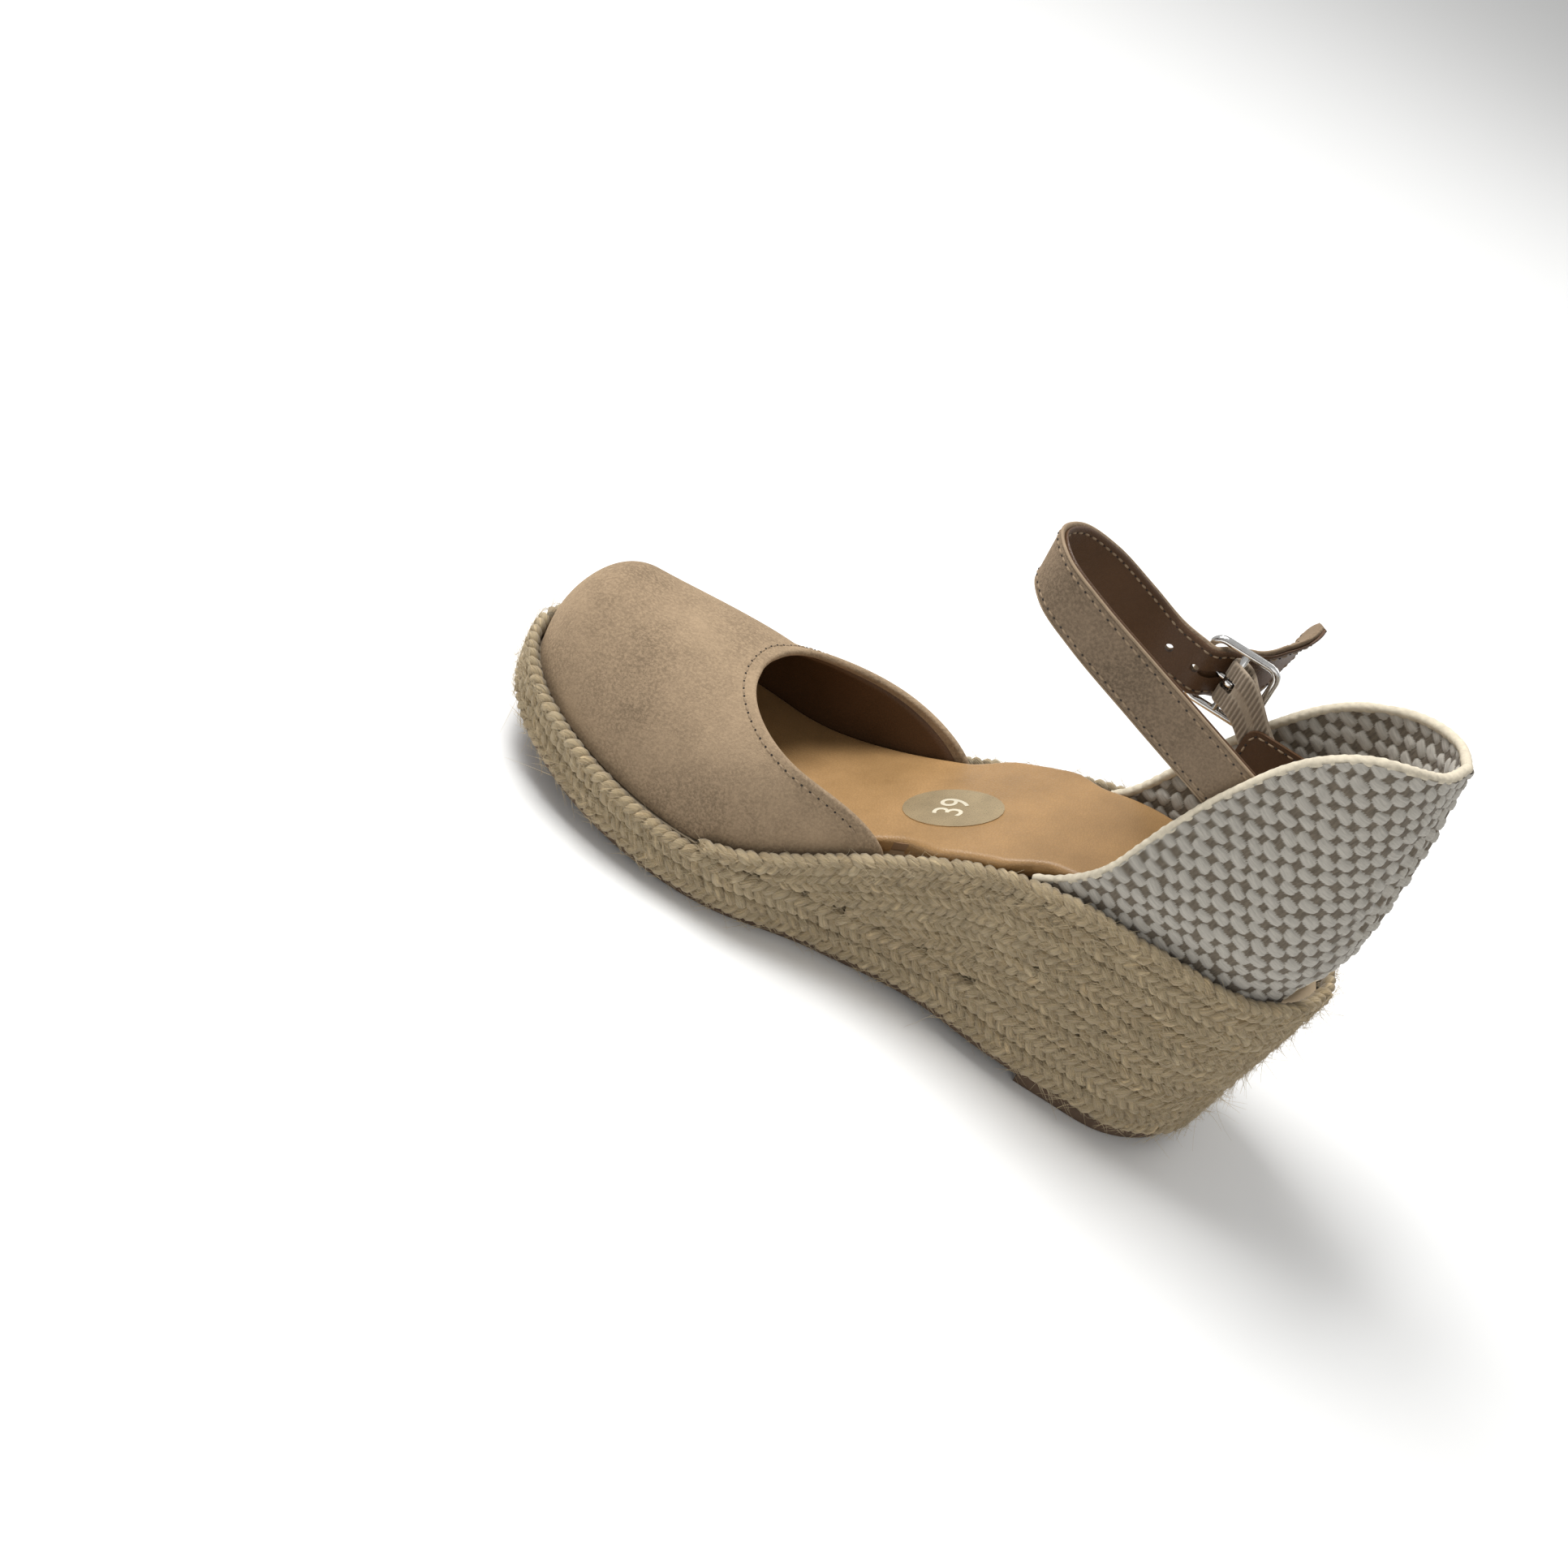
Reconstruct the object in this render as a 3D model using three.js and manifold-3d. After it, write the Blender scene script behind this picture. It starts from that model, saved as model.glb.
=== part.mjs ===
// A right-foot wedge sandal with a closed suede toe, a woven heel quarter and a buckled ankle strap.
// Millimetres. +X points to the toe, +Y to the inner (medial) side of the foot, +Z up.
// The origin is on the ground, under the middle of the heel lift.
import * as THREE from "three";
import { mergeVertices } from "three/addons/utils/BufferGeometryUtils.js";
import Module from "manifold-3d";

const wasm = await Module();
wasm.setup();

// ---------------------------------------------------------------- driving dimensions
const GAP = 0.3; // what separate pieces keep between them

// wedge, measured at the rim of its core
const HEEL_BACK = -34; // x of the core's back
const TOE_TIP = 208; // x of the core's front
const HEEL_TOP = 65; // height of the rim at the heel
const BALL_TOP = 18; // height of the rim under the ball of the foot
const SLOPE_START = 22; // x where the seat starts to fall
const SLOPE_END = 140; // x where the forepart becomes level
const TOE_SPRING = 15; // how far the toe tip lifts off the ground
const SPRING_START = 115; // x where the toe spring starts
const HEEL_RAKE = 11; // how far the heel's back runs forward on its way down
const SIDE_TAPER = 0.13; // share of the width that the wedge loses from rim to ground

// rubber
const LIFT_THICK = 5.5;
const LIFT_FRONT = 15; // x of the heel lift's front edge
const OUTSOLE_THICK = 2.6;
const RUBBER_OUT = 1.8; // how far the rubber stands out from the core

// jute braids
const BRAID_THICK = 4.2;
const BRAID_ABOVE_RIM = 4; // the top braid covers the edge of the footbed layers
const LOW_BRAID = 8.2; // height of the two braids that run all the way round
const HIGH_BRAIDS = 7; // braids that run round the wedge from side to side
const BRAID_END_SHARE = 0.45; // a braid ends where less than this share of its height is left

// footbed layers
const BOARD_THICK = 1.8;
const FOAM_THICK = 2.6;
const SOCK_THICK = 1.2;
const LAYER_CLEAR = 1.3; // the layers stand inside the upper by this much
const TOE_MARGIN = 1.4; // and by this much more at the toe
const WAIST_BACK = 56; // x range in which the footbed is open at the sides
const WAIST_FRONT = 70;
const WAIST_BLEND = 8;
const SHANK_LENGTH = 104;
const SHANK_WIDTH = 12;
const SHANK_THICK = 1.4;
const SHANK_X = 58; // x of its middle
const LABEL_LENGTH = 26;
const LABEL_WIDTH = 23;
const LABEL_THICK = 0.4;
const LABEL_X = 77;
const LABEL_Y = 1.5;

// vamp
const VAMP_SKIN = 1.1;
const PUFF_SKIN = 0.6;
const PUFF_PLAY = 0.45; // extra room on both sides of the toe puff
const LINING_SKIN = 0.8;
const PUFF_BACK = 158; // x of the toe puff's rear edge
const VAMP_MEDIAL_END = 85; // x of the vamp's tips on the two sides
const VAMP_LATERAL_END = 82;
const VAMP_THROAT = 145; // x of the topline in the middle of the foot
const VAMP_HEIGHT = 38.5; // height above the rim at the throat
const VAMP_RISE = 0.4; // how much taller it gets per mm towards the heel
const TOE_HEIGHT = 34; // height just behind the rounded toe
const TOE_ROUND = 18; // length over which the toe rounds down

// quarter
const QUARTER_CLOTH = 2.2;
const QUARTER_BULGE = 2.6; // how far the cloth swells over the top braid
const QUARTER_LEAN = 4.5; // how far the back's top edge leans forward
const WINDOW_HALF = 19; // half width of the open window at the heel, along the rim
const WINDOW_HEIGHT = 15;
// top edge: [x, height]
const QUARTER_EDGE_MEDIAL = [
  [HEEL_BACK, 146],
  [-12, 149],
  [3, 139],
  [16, 118],
  [24, 98],
  [31, 79],
  [38, 69],
  [46, 62],
];
const QUARTER_EDGE_LATERAL = [
  [HEEL_BACK, 146],
  [-16, 139],
  [2, 128],
  [14, 113],
  [24, 96],
  [32, 79],
  [38, 69],
  [42, 64.5],
];

// ankle strap
const STRAP_WIDTH = 16;
const STRAP_SUEDE = 1.2;
const STRAP_BACK = 1;
const STRAP_HOLE = 2.4;
const STRAP_HOLE_PITCH = 9;

// buckle, with its middle bar at PIVOT
const BUCKLE_X = 31;
const BUCKLE_Y = -26.6;
const BUCKLE_Z = 117;
const BUCKLE_LENGTH = 20; // between the middles of its front and rear bars
const BUCKLE_WIRE = 2.4;
const BAR_WIRE = 2.2;
const BUCKLE_SIDE_PLAY = 0.9;
const PRONG_WIRE = 1.7;
const BUCKLE_SWING = 0.9; // how far its rear bar can move towards the foot

// elastic and patches
const ELASTIC_WIDTH = 14;
const ELASTIC_PLY = 1.1;
const ELASTIC_SLIT = 3.4; // open middle in which the prong sits
const ELASTIC_ANCHOR_X = 8;
const ELASTIC_DROP = 15; // how much lower its sewn end is than the buckle
const PATCH_THICK = 1;
const PATCH_X = 8; // middle of both patches
const STRAP_PATCH = [115, 22, 20]; // middle height, length and height of the patch
const ELASTIC_PATCH = [24, 20]; // length and height of the patch
const SEAM_Y = 25.6; // the strap's middle at its sewn end

// ---------------------------------------------------------------- small tools
const v3 = (x, y, z) => new THREE.Vector3(x, y, z);
const clamp = (x, lo, hi) => Math.min(hi, Math.max(lo, x));
const mix = (a, b, t) => a + (b - a) * t;
const smooth = (t) => {
  const c = clamp(t, 0, 1);
  return c * c * (3 - 2 * c);
};
const range = (n) => [...Array(n).keys()];

function finish(name, positions, colour, roughness, metalness = 0) {
  const geometry = new THREE.BufferGeometry();
  geometry.setAttribute("position", new THREE.Float32BufferAttribute(positions, 3));
  geometry.computeVertexNormals();
  const material = new THREE.MeshStandardMaterial({ color: colour, roughness, metalness });
  const mesh = new THREE.Mesh(geometry, material);
  mesh.name = name;
  return mesh;
}

// Triangles are collected as flat position lists.
class Skin {
  constructor() {
    this.positions = [];
  }
  tri(a, b, c) {
    for (const p of [a, b, c]) this.positions.push(p.x, p.y, p.z);
  }
  quad(a, b, c, d) {
    this.tri(a, b, c);
    this.tri(a, c, d);
  }
}

// A solid through a row of rings of points, closed into a loop or capped at both ends.
function loft(rings, closed = false) {
  const skin = new Skin();
  const sides = rings[0].length;
  const last = rings.length - 1;
  for (let i = 0; i < (closed ? last + 1 : last); i++) {
    const [a, b] = [rings[i], rings[(i + 1) % rings.length]];
    for (let k = 0; k < sides; k++) {
      const n = (k + 1) % sides;
      // each quad is split along its shorter diagonal, so that neighbouring pieces twist alike
      if (a[k].distanceTo(b[n]) <= a[n].distanceTo(b[k])) skin.quad(a[k], a[n], b[n], b[k]);
      else skin.quad(a[n], b[n], b[k], a[k]);
    }
  }
  if (!closed) {
    for (let k = 1; k < sides - 1; k++) {
      skin.tri(rings[0][0], rings[0][k + 1], rings[0][k]);
      skin.tri(rings[last][0], rings[last][k], rings[last][k + 1]);
    }
  }
  return outwards(skin.positions);
}
// Turns the triangles round if they enclose a negative volume.
function outwards(positions) {
  let volume = 0;
  for (let i = 0; i < positions.length; i += 9) {
    const [a, b, c] = [0, 3, 6].map((k) => v3(...positions.slice(i + k, i + k + 3)));
    volume += a.dot(b.cross(c));
  }
  if (volume >= 0) return positions;
  const turned = [];
  for (let i = 0; i < positions.length; i += 9)
    turned.push(...positions.slice(i, i + 3), ...positions.slice(i + 6, i + 9), ...positions.slice(i + 3, i + 6));
  return turned;
}

// ---------------------------------------------------------------- the plan outline
const SOLE_LENGTH = TOE_TIP - HEEL_BACK;
// plan outline: [share of the sole's length, distance from the middle line]
const MEDIAL = [
  [0.0, 0],
  [0.02, 14.5],
  [0.07, 25],
  [0.16, 27.6],
  [0.27, 28],
  [0.4, 24.5],
  [0.52, 28.5],
  [0.64, 38.5],
  [0.76, 41],
  [0.87, 37],
  [0.95, 28],
  [0.988, 17],
  [1.0, 6],
];
const LATERAL = [
  [0.0, 0],
  [0.02, -14],
  [0.07, -24],
  [0.16, -28],
  [0.27, -30],
  [0.4, -31.5],
  [0.52, -34.5],
  [0.64, -38.5],
  [0.76, -38.5],
  [0.87, -32],
  [0.95, -19],
  [0.988, -5],
  [1.0, 6],
];
const sideCurve = (rows) =>
  new THREE.CatmullRomCurve3(
    rows.map(([s, y]) => v3(HEEL_BACK + s * SOLE_LENGTH, y, 0)),
    false,
    "centripetal",
  );
const medialCurve = sideCurve(MEDIAL);
const lateralCurve = sideCurve(LATERAL);

// u runs from -1 (toe, along the outer side) through 0 (heel back) to 1 (toe, along the inner side).
function rimPoint(u) {
  return (u >= 0 ? medialCurve : lateralCurve).getPointAt(clamp(Math.abs(u), 0, 1));
}
function rimNormal(u) {
  const step = 0.004;
  const a = rimPoint(clamp(u - step, -1, 1));
  const b = rimPoint(clamp(u + step, -1, 1));
  const along = b.sub(a).normalize();
  return v3(-along.y, along.x, 0);
}
// The u on one side at which the rim reaches a given x.
function rimAt(x, side) {
  let lo = 0;
  let hi = 1;
  for (let i = 0; i < 40; i++) {
    const mid = (lo + hi) / 2;
    if (rimPoint(side * mid).x < x) lo = mid;
    else hi = mid;
  }
  return (side * (lo + hi)) / 2;
}

// ---------------------------------------------------------------- heights
function springHeight(x) {
  return TOE_SPRING * clamp((x - SPRING_START) / (TOE_TIP - SPRING_START), 0, 1) ** 2;
}
function rimHeight(x) {
  const fall = smooth((x - SLOPE_START) / (SLOPE_END - SLOPE_START));
  return mix(HEEL_TOP, BALL_TOP, fall) + springHeight(x) * 0.8;
}
// The underside of the thin outsole: raised in the waist, so that the heel lift steps down from it.
const ARCH_BACK = LIFT_FRONT + 25;
const ARCH_FRONT = LIFT_FRONT + 75;
function underHeight(x) {
  const arch = smooth((ARCH_FRONT - x) / (ARCH_FRONT - ARCH_BACK));
  return springHeight(x) + (LIFT_THICK - OUTSOLE_THICK) * arch;
}
// The underside of the jute and core.
const baseHeight = (x) => underHeight(x) + OUTSOLE_THICK + GAP;

// A point of the wedge's side wall, pushed outwards by out.
function wall(u, z, out) {
  const rim = rimPoint(u);
  const normal = rimNormal(u);
  const depth = clamp((rimHeight(rim.x) - z) / HEEL_TOP, 0, 1);
  const rear = smooth((70 - rim.x) / (70 - HEEL_BACK));
  return v3(
    rim.x + HEEL_RAKE * depth * rear + normal.x * out,
    rim.y * (1 - SIDE_TAPER * depth) + normal.y * out,
    z,
  );
}

// ---------------------------------------------------------------- solids that follow the outline
const STATIONS = 28;
const stationShare = (j) => (1 - Math.cos((Math.PI * j) / STATIONS)) / 2;

// A slab between two heights: ring points run from the heel along the inner side to the toe and back.
function slabRing(pointAt, from, to) {
  const shares = range(STATIONS + 1).map((j) => mix(from, to, stationShare(j)));
  return { medial: shares.map((s) => pointAt(s)), lateral: shares.map((s) => pointAt(-s)) };
}
function slab(topRing, bottomRing) {
  const skin = new Skin();
  const last = topRing.medial.length - 1;
  const cap = (ring, up) => {
    for (let j = 0; j < last; j++) {
      const [a, b] = [ring.medial[j], ring.medial[j + 1]];
      const [d, c] = [ring.lateral[j], ring.lateral[j + 1]];
      if (a.distanceTo(d) > 1e-6) up ? skin.tri(a, d, c) : skin.tri(a, c, d);
      if (b.distanceTo(c) > 1e-6) up ? skin.tri(a, c, b) : skin.tri(a, b, c);
    }
  };
  cap(topRing, true);
  cap(bottomRing, false);
  for (let j = 0; j < last; j++) {
    skin.quad(topRing.medial[j], topRing.medial[j + 1], bottomRing.medial[j + 1], bottomRing.medial[j]);
    skin.quad(topRing.lateral[j + 1], topRing.lateral[j], bottomRing.lateral[j], bottomRing.lateral[j + 1]);
  }
  if (topRing.medial[0].distanceTo(topRing.lateral[0]) > 1e-6)
    skin.quad(topRing.lateral[0], topRing.medial[0], bottomRing.medial[0], bottomRing.lateral[0]);
  if (topRing.medial[last].distanceTo(topRing.lateral[last]) > 1e-6)
    skin.quad(topRing.medial[last], topRing.lateral[last], bottomRing.lateral[last], bottomRing.medial[last]);
  return skin.positions;
}

// One layer of the footbed, between two distances above the core's rim; open is its reach in the waist.
function footbedLayer(low, high, inset, open) {
  const reach = (x) => {
    const back = smooth((x - WAIST_BACK + WAIST_BLEND) / WAIST_BLEND);
    const front = smooth((WAIST_FRONT + WAIST_BLEND - x) / WAIST_BLEND);
    const toe = TOE_MARGIN * smooth((x - PUFF_BACK) / (TOE_TIP - PUFF_BACK));
    return mix(-inset - toe, open, back * front);
  };
  const ringAt = (lift) =>
    slabRing((u) => {
      const rim = rimPoint(u);
      const normal = rimNormal(u);
      const out = reach(rim.x);
      const x = rim.x + normal.x * out;
      return v3(x, rim.y + normal.y * out, rimHeight(x) + lift);
    }, 0, 1);
  return slab(ringAt(high), ringAt(low));
}

// ---------------------------------------------------------------- jute braids
const ALL_STATIONS = [
  ...range(STATIONS).map((j) => -stationShare(STATIONS - j)),
  ...range(STATIONS + 1).map((j) => stationShare(j)),
];
// A band swept round the wall, from one value of u to another; lowAt and highAt give its edges at each x.
function braid(lowAt, highAt, from, to) {
  const closed = from <= -1 && to >= 1;
  const inside = ALL_STATIONS.filter((u) => u > from + 0.004 && u < to - 0.004);
  const stops = closed ? ALL_STATIONS.slice(1) : [from, ...inside, to];
  const rings = stops.map((u) => {
    const x = rimPoint(u).x;
    const [low, high] = [lowAt(x), highAt(x)];
    const [middle, half] = [(low + high) / 2, (high - low) / 2 - GAP / 2];
    const at = (share, out) => wall(u, middle + half * share, out);
    return [
      at(-1, GAP),
      at(-1, GAP + BRAID_THICK * 0.5),
      at(-0.5, GAP + BRAID_THICK),
      at(0.5, GAP + BRAID_THICK),
      at(1, GAP + BRAID_THICK * 0.5),
      at(1, GAP),
    ];
  });
  return loft(rings, closed);
}

const lowTop = (x) => baseHeight(x) + 2 * LOW_BRAID;
const braidRim = (x) => rimHeight(x) + BRAID_ABOVE_RIM;
const HIGH_BRAID = (braidRim(HEEL_BACK) - lowTop(HEEL_BACK)) / HIGH_BRAIDS;
function jute() {
  const rows = [];
  for (const k of [0, 1]) {
    const low = (x) => baseHeight(x) + k * LOW_BRAID;
    const high = (x) => baseHeight(x) + (k + 1) * LOW_BRAID;
    rows.push([`jute_braid_${k + 1}`, braid(low, high, -1, 1)]);
  }
  for (const k of range(HIGH_BRAIDS)) {
    const high = (x) => braidRim(x) - k * HIGH_BRAID;
    const low = (x) => Math.max(high(x) - HIGH_BRAID, lowTop(x));
    // the braid ends on each side where the rim has come down to the low braids
    let end = SPRING_START + 15;
    while (high(end) - lowTop(end) < BRAID_END_SHARE * HIGH_BRAID) end -= 0.5;
    rows.push([`jute_braid_${HIGH_BRAIDS + 2 - k}`, braid(low, high, rimAt(end, -1), rimAt(end, 1))]);
  }
  return rows;
}

// ---------------------------------------------------------------- rubber
function rubber(fromX, toX, lowAt, highAt) {
  const between = (side) => {
    const [a, b] = [Math.abs(rimAt(fromX, side)), toX >= TOE_TIP ? 1 : Math.abs(rimAt(toX, side))];
    return (j) => side * mix(a, b, fromX <= HEEL_BACK ? stationShare(j) : (j / STATIONS) ** 0.8);
  };
  const ring = (heightAt) => {
    const sideOf = (side) =>
      range(STATIONS + 1).map((j) => {
        const u = between(side)(j);
        return wall(u, heightAt(rimPoint(u).x), RUBBER_OUT);
      });
    return { medial: sideOf(1), lateral: sideOf(-1) };
  };
  return slab(ring(highAt), ring(lowAt));
}

// ---------------------------------------------------------------- shells
// A closed shell from a grid of outer points and a grid of inner points. A row may be a single point.
function shell(outer, inner) {
  const skin = new Skin();
  const face = (rows, outwards) => {
    for (let i = 0; i < rows.length - 1; i++) {
      const [a, b] = [rows[i], rows[i + 1]];
      const n = Math.max(a.length, b.length) - 1;
      const at = (row, k) => row[row.length === 1 ? 0 : k];
      for (let j = 0; j < n; j++) {
        const [p, q, r, s] = [at(a, j), at(a, j + 1), at(b, j + 1), at(b, j)];
        if (a.length > 1) outwards ? skin.tri(p, r, q) : skin.tri(p, q, r);
        if (b.length > 1) outwards ? skin.tri(p, s, r) : skin.tri(p, r, s);
      }
    }
  };
  face(outer, true);
  face(inner, false);
  const edge = (rows) => {
    const last = rows.length - 1;
    const path = [...rows[0]];
    for (let i = 1; i < last; i++) path.push(rows[i][rows[i].length - 1]);
    path.push(...[...rows[last]].reverse());
    for (let i = last - 1; i > 0; i--) path.push(rows[i][0]);
    return path;
  };
  const [o, n] = [edge(outer), edge(inner)];
  for (let i = 0; i < o.length; i++) {
    const k = (i + 1) % o.length;
    skin.quad(o[i], o[k], n[k], n[i]);
  }
  return skin.positions;
}
function surfaceNormal(pointAt, a, b) {
  const h = 1e-3;
  const along = pointAt(a + h, b).sub(pointAt(a - h, b));
  const across = pointAt(a, b + h).sub(pointAt(a, b - h));
  return along.cross(across).normalize();
}
const offsetGrid = (pointAt, params, out) =>
  params.map((row) => row.map(([a, b]) => pointAt(a, b).addScaledVector(surfaceNormal(pointAt, a, b), out)));

// ---------------------------------------------------------------- vamp
const UPPER_INSET = 0.7; // the upper's lower edge stands this much inside the core's rim
const SEAT = 0.8; // and this much above it
const VAMP_ROWS = 13;
const VAMP_COLUMNS = 18;
function sectionAt(x) {
  const inner = rimPoint(rimAt(x, 1)).y - UPPER_INSET;
  const outer = rimPoint(rimAt(x, -1)).y + UPPER_INSET;
  return [(inner + outer) / 2, (inner - outer) / 2];
}
// angle 0 is the inner feather edge, pi the outer one; along runs from the toe (0) to the topline (1).
const VAMP_FRONT = TOE_TIP - 0.6;
const TOE_ROWS = 5;
function vampSurface(backLimit) {
  return (along, angle) => {
    const across = clamp(angle, 0, Math.PI);
    const side = Math.sin(across);
    const tip = mix(VAMP_MEDIAL_END, VAMP_LATERAL_END, across / Math.PI);
    const rear = Math.max(mix(tip, VAMP_THROAT, side ** 0.9), backLimit);
    const toeShare = TOE_ROWS / VAMP_ROWS;
    const nose = Math.cos((Math.PI / 2) * clamp(along / toeShare, 0, 1));
    const behind = clamp((along - toeShare) / (1 - toeShare), 0, 1);
    const x = mix(VAMP_FRONT - TOE_ROUND * (1 - nose), rear, behind);
    const [middle, half] = sectionAt(Math.min(x, VAMP_FRONT));
    const back = smooth((x - VAMP_THROAT) / (VAMP_FRONT - TOE_ROUND - VAMP_THROAT));
    const crown = mix(VAMP_HEIGHT, TOE_HEIGHT, back) + VAMP_RISE * Math.max(0, VAMP_THROAT - x);
    const height = crown * Math.sqrt(1 - nose * nose);
    const c = Math.cos(angle);
    const reach = Math.sign(c) * Math.abs(c) ** 0.85 * (1 - 0.08 * side);
    return v3(x, middle + half * reach, rimHeight(x) + SEAT + height * side ** 0.75);
  };
}
function vampLayer(depth, thickness, backLimit = -Infinity) {
  const surface = vampSurface(backLimit);
  const params = range(VAMP_ROWS).map((i) =>
    range(VAMP_COLUMNS + 1).map((j) => [(i + 1) / VAMP_ROWS, (Math.PI * j) / VAMP_COLUMNS]),
  );
  const nose = (out) => [v3(VAMP_FRONT - out, surface(0.01, 0).y, rimHeight(TOE_TIP) + SEAT)];
  const outer = [nose(depth), ...offsetGrid(surface, params, -depth)];
  const inner = [nose(depth + thickness), ...offsetGrid(surface, params, -depth - thickness)];
  return shell(outer, inner);
}

// ---------------------------------------------------------------- quarter
const QUARTER_COLUMNS = 44;
const QUARTER_ROWS = 7;
const sideLength = (u) => (u >= 0 ? medialCurve : lateralCurve).getLength();
const edgeCurve = (points) => new THREE.CatmullRomCurve3(points.map(([x, z]) => v3(x, 0, z))).getPoints(60);
const medialEdge = edgeCurve(QUARTER_EDGE_MEDIAL);
const lateralEdge = edgeCurve(QUARTER_EDGE_LATERAL);
function quarterTop(u) {
  const x = rimPoint(u).x;
  const points = u >= 0 ? medialEdge : lateralEdge;
  const beyond = points.findIndex((p) => p.x > x);
  const k = beyond < 0 ? points.length - 1 : Math.max(beyond, 1);
  const [a, b] = [points[k - 1], points[k]];
  return mix(a.z, b.z, clamp((x - a.x) / (b.x - a.x), 0, 1));
}
function quarterBottom(u) {
  const rim = rimPoint(u);
  const arch = clamp(1 - ((Math.abs(u) * sideLength(u)) / WINDOW_HALF) ** 2, 0, 1);
  return rimHeight(rim.x) + SEAT + WINDOW_HEIGHT * Math.sqrt(arch);
}
// A point of the cloth at u and height z, at a depth below its outer surface.
function clothPoint(u, z, depth) {
  const rim = rimPoint(u);
  const normal = rimNormal(u);
  const above = z - rimHeight(rim.x) - BRAID_ABOVE_RIM - GAP;
  const up = clamp(above / (QUARTER_EDGE_MEDIAL[0][1] - HEEL_TOP), 0, 1);
  const swell = QUARTER_BULGE * smooth(above / 14);
  const lean = QUARTER_LEAN * smooth(-normal.x) * up * up;
  const out = swell - UPPER_INSET - lean - depth;
  return v3(rim.x + normal.x * out, rim.y + normal.y * out, z);
}
function quarter() {
  const [from, to] = [rimAt(QUARTER_EDGE_MEDIAL.at(-1)[0], 1), rimAt(QUARTER_EDGE_LATERAL.at(-1)[0], -1)];
  const grid = (depth) =>
    range(QUARTER_COLUMNS + 1).map((i) => {
      const u = mix(from, to, i / QUARTER_COLUMNS);
      const low = quarterBottom(u);
      const high = Math.max(quarterTop(u), low + 1);
      return range(QUARTER_ROWS + 1).map((j) => clothPoint(u, mix(low, high, j / QUARTER_ROWS), depth));
    });
  return shell(grid(0), grid(QUARTER_CLOTH));
}

// ---------------------------------------------------------------- solids for boolean cuts
function solid(geometry) {
  const plain = geometry.index ? geometry.toNonIndexed() : geometry.clone();
  for (const name of Object.keys(plain.attributes)) if (name !== "position") plain.deleteAttribute(name);
  const merged = mergeVertices(plain, 1e-4);
  const vertProperties = merged.attributes.position.array;
  const triVerts = new Uint32Array(merged.index.array);
  return new wasm.Manifold(new wasm.Mesh({ numProp: 3, vertProperties, triVerts }));
}
function solidOf(positions) {
  return solid(new THREE.BufferGeometry().setAttribute("position", new THREE.Float32BufferAttribute(positions, 3)));
}
function positionsOf(body) {
  const mesh = body.getMesh();
  const out = [];
  for (const k of mesh.triVerts) out.push(...mesh.vertProperties.slice(k * mesh.numProp, k * mesh.numProp + 3));
  return out;
}
// A rod of round section between two points.
function rod(from, to, radius, sides = 12) {
  const way = to.clone().sub(from);
  const geometry = new THREE.CylinderGeometry(radius, radius, way.length(), sides);
  const turn = new THREE.Quaternion().setFromUnitVectors(v3(0, 1, 0), way.clone().normalize());
  geometry.applyQuaternion(turn);
  const middle = from.clone().add(to).multiplyScalar(0.5);
  return solid(geometry.translate(middle.x, middle.y, middle.z));
}

// ---------------------------------------------------------------- steel shank, let into the core
function strip(fromX, toX, width, low, high) {
  const steps = 14;
  const rings = range(steps + 1).map((i) => {
    const x = mix(fromX, toX, i / steps);
    const z = rimHeight(x);
    const half = width / 2;
    return [v3(x, half, z + low), v3(x, -half, z + low), v3(x, -half, z + high), v3(x, half, z + high)];
  });
  return loft(rings);
}
const SHANK_ENDS = [SHANK_X - SHANK_LENGTH / 2, SHANK_X + SHANK_LENGTH / 2];
const SHANK_TOP = -0.5;
function wedgeCore() {
  const top = slabRing((u) => wall(u, rimHeight(rimPoint(u).x), 0), 0, 1);
  const foot = slabRing((u) => wall(u, baseHeight(rimPoint(u).x), 0), 0, 1);
  const level = (ring) => ring.map((p) => v3(p.x, p.y, baseHeight(p.x)));
  const block = solidOf(slab(top, { medial: level(foot.medial), lateral: level(foot.lateral) }));
  const [a, b] = SHANK_ENDS;
  const slot = strip(a - GAP, b + GAP, SHANK_WIDTH + 2 * GAP, SHANK_TOP - SHANK_THICK - GAP, LIFT_THICK);
  return positionsOf(block.subtract(solidOf(slot)));
}

// ---------------------------------------------------------------- size label
function sizeLabel(low) {
  const sides = 28;
  const skin = new Skin();
  const at = (k, lift) => {
    const a = (2 * Math.PI * k) / sides;
    const x = LABEL_X + (LABEL_LENGTH / 2) * Math.cos(a);
    return v3(x, LABEL_Y + (LABEL_WIDTH / 2) * Math.sin(a), rimHeight(x) + lift);
  };
  const middle = (lift) => v3(LABEL_X, LABEL_Y, rimHeight(LABEL_X) + lift);
  const high = low + LABEL_THICK;
  for (let k = 0; k < sides; k++) {
    skin.tri(middle(high), at(k, high), at(k + 1, high));
    skin.tri(middle(low), at(k + 1, low), at(k, low));
    skin.quad(at(k, low), at(k + 1, low), at(k + 1, high), at(k, high));
  }
  return skin.positions;
}

// ---------------------------------------------------------------- ankle strap
const STRAP_THICK = STRAP_SUEDE + GAP + STRAP_BACK;
// the strap's middle over the middle bar
const BAR_CLEAR = BAR_WIRE / 2 + GAP + ELASTIC_PLY + GAP + STRAP_THICK / 2;
const FRAME_CLEAR = BUCKLE_WIRE / 2 + GAP + STRAP_THICK / 2; // strap's middle beside the frame
const HALF_BUCKLE = BUCKLE_LENGTH / 2;
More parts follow.
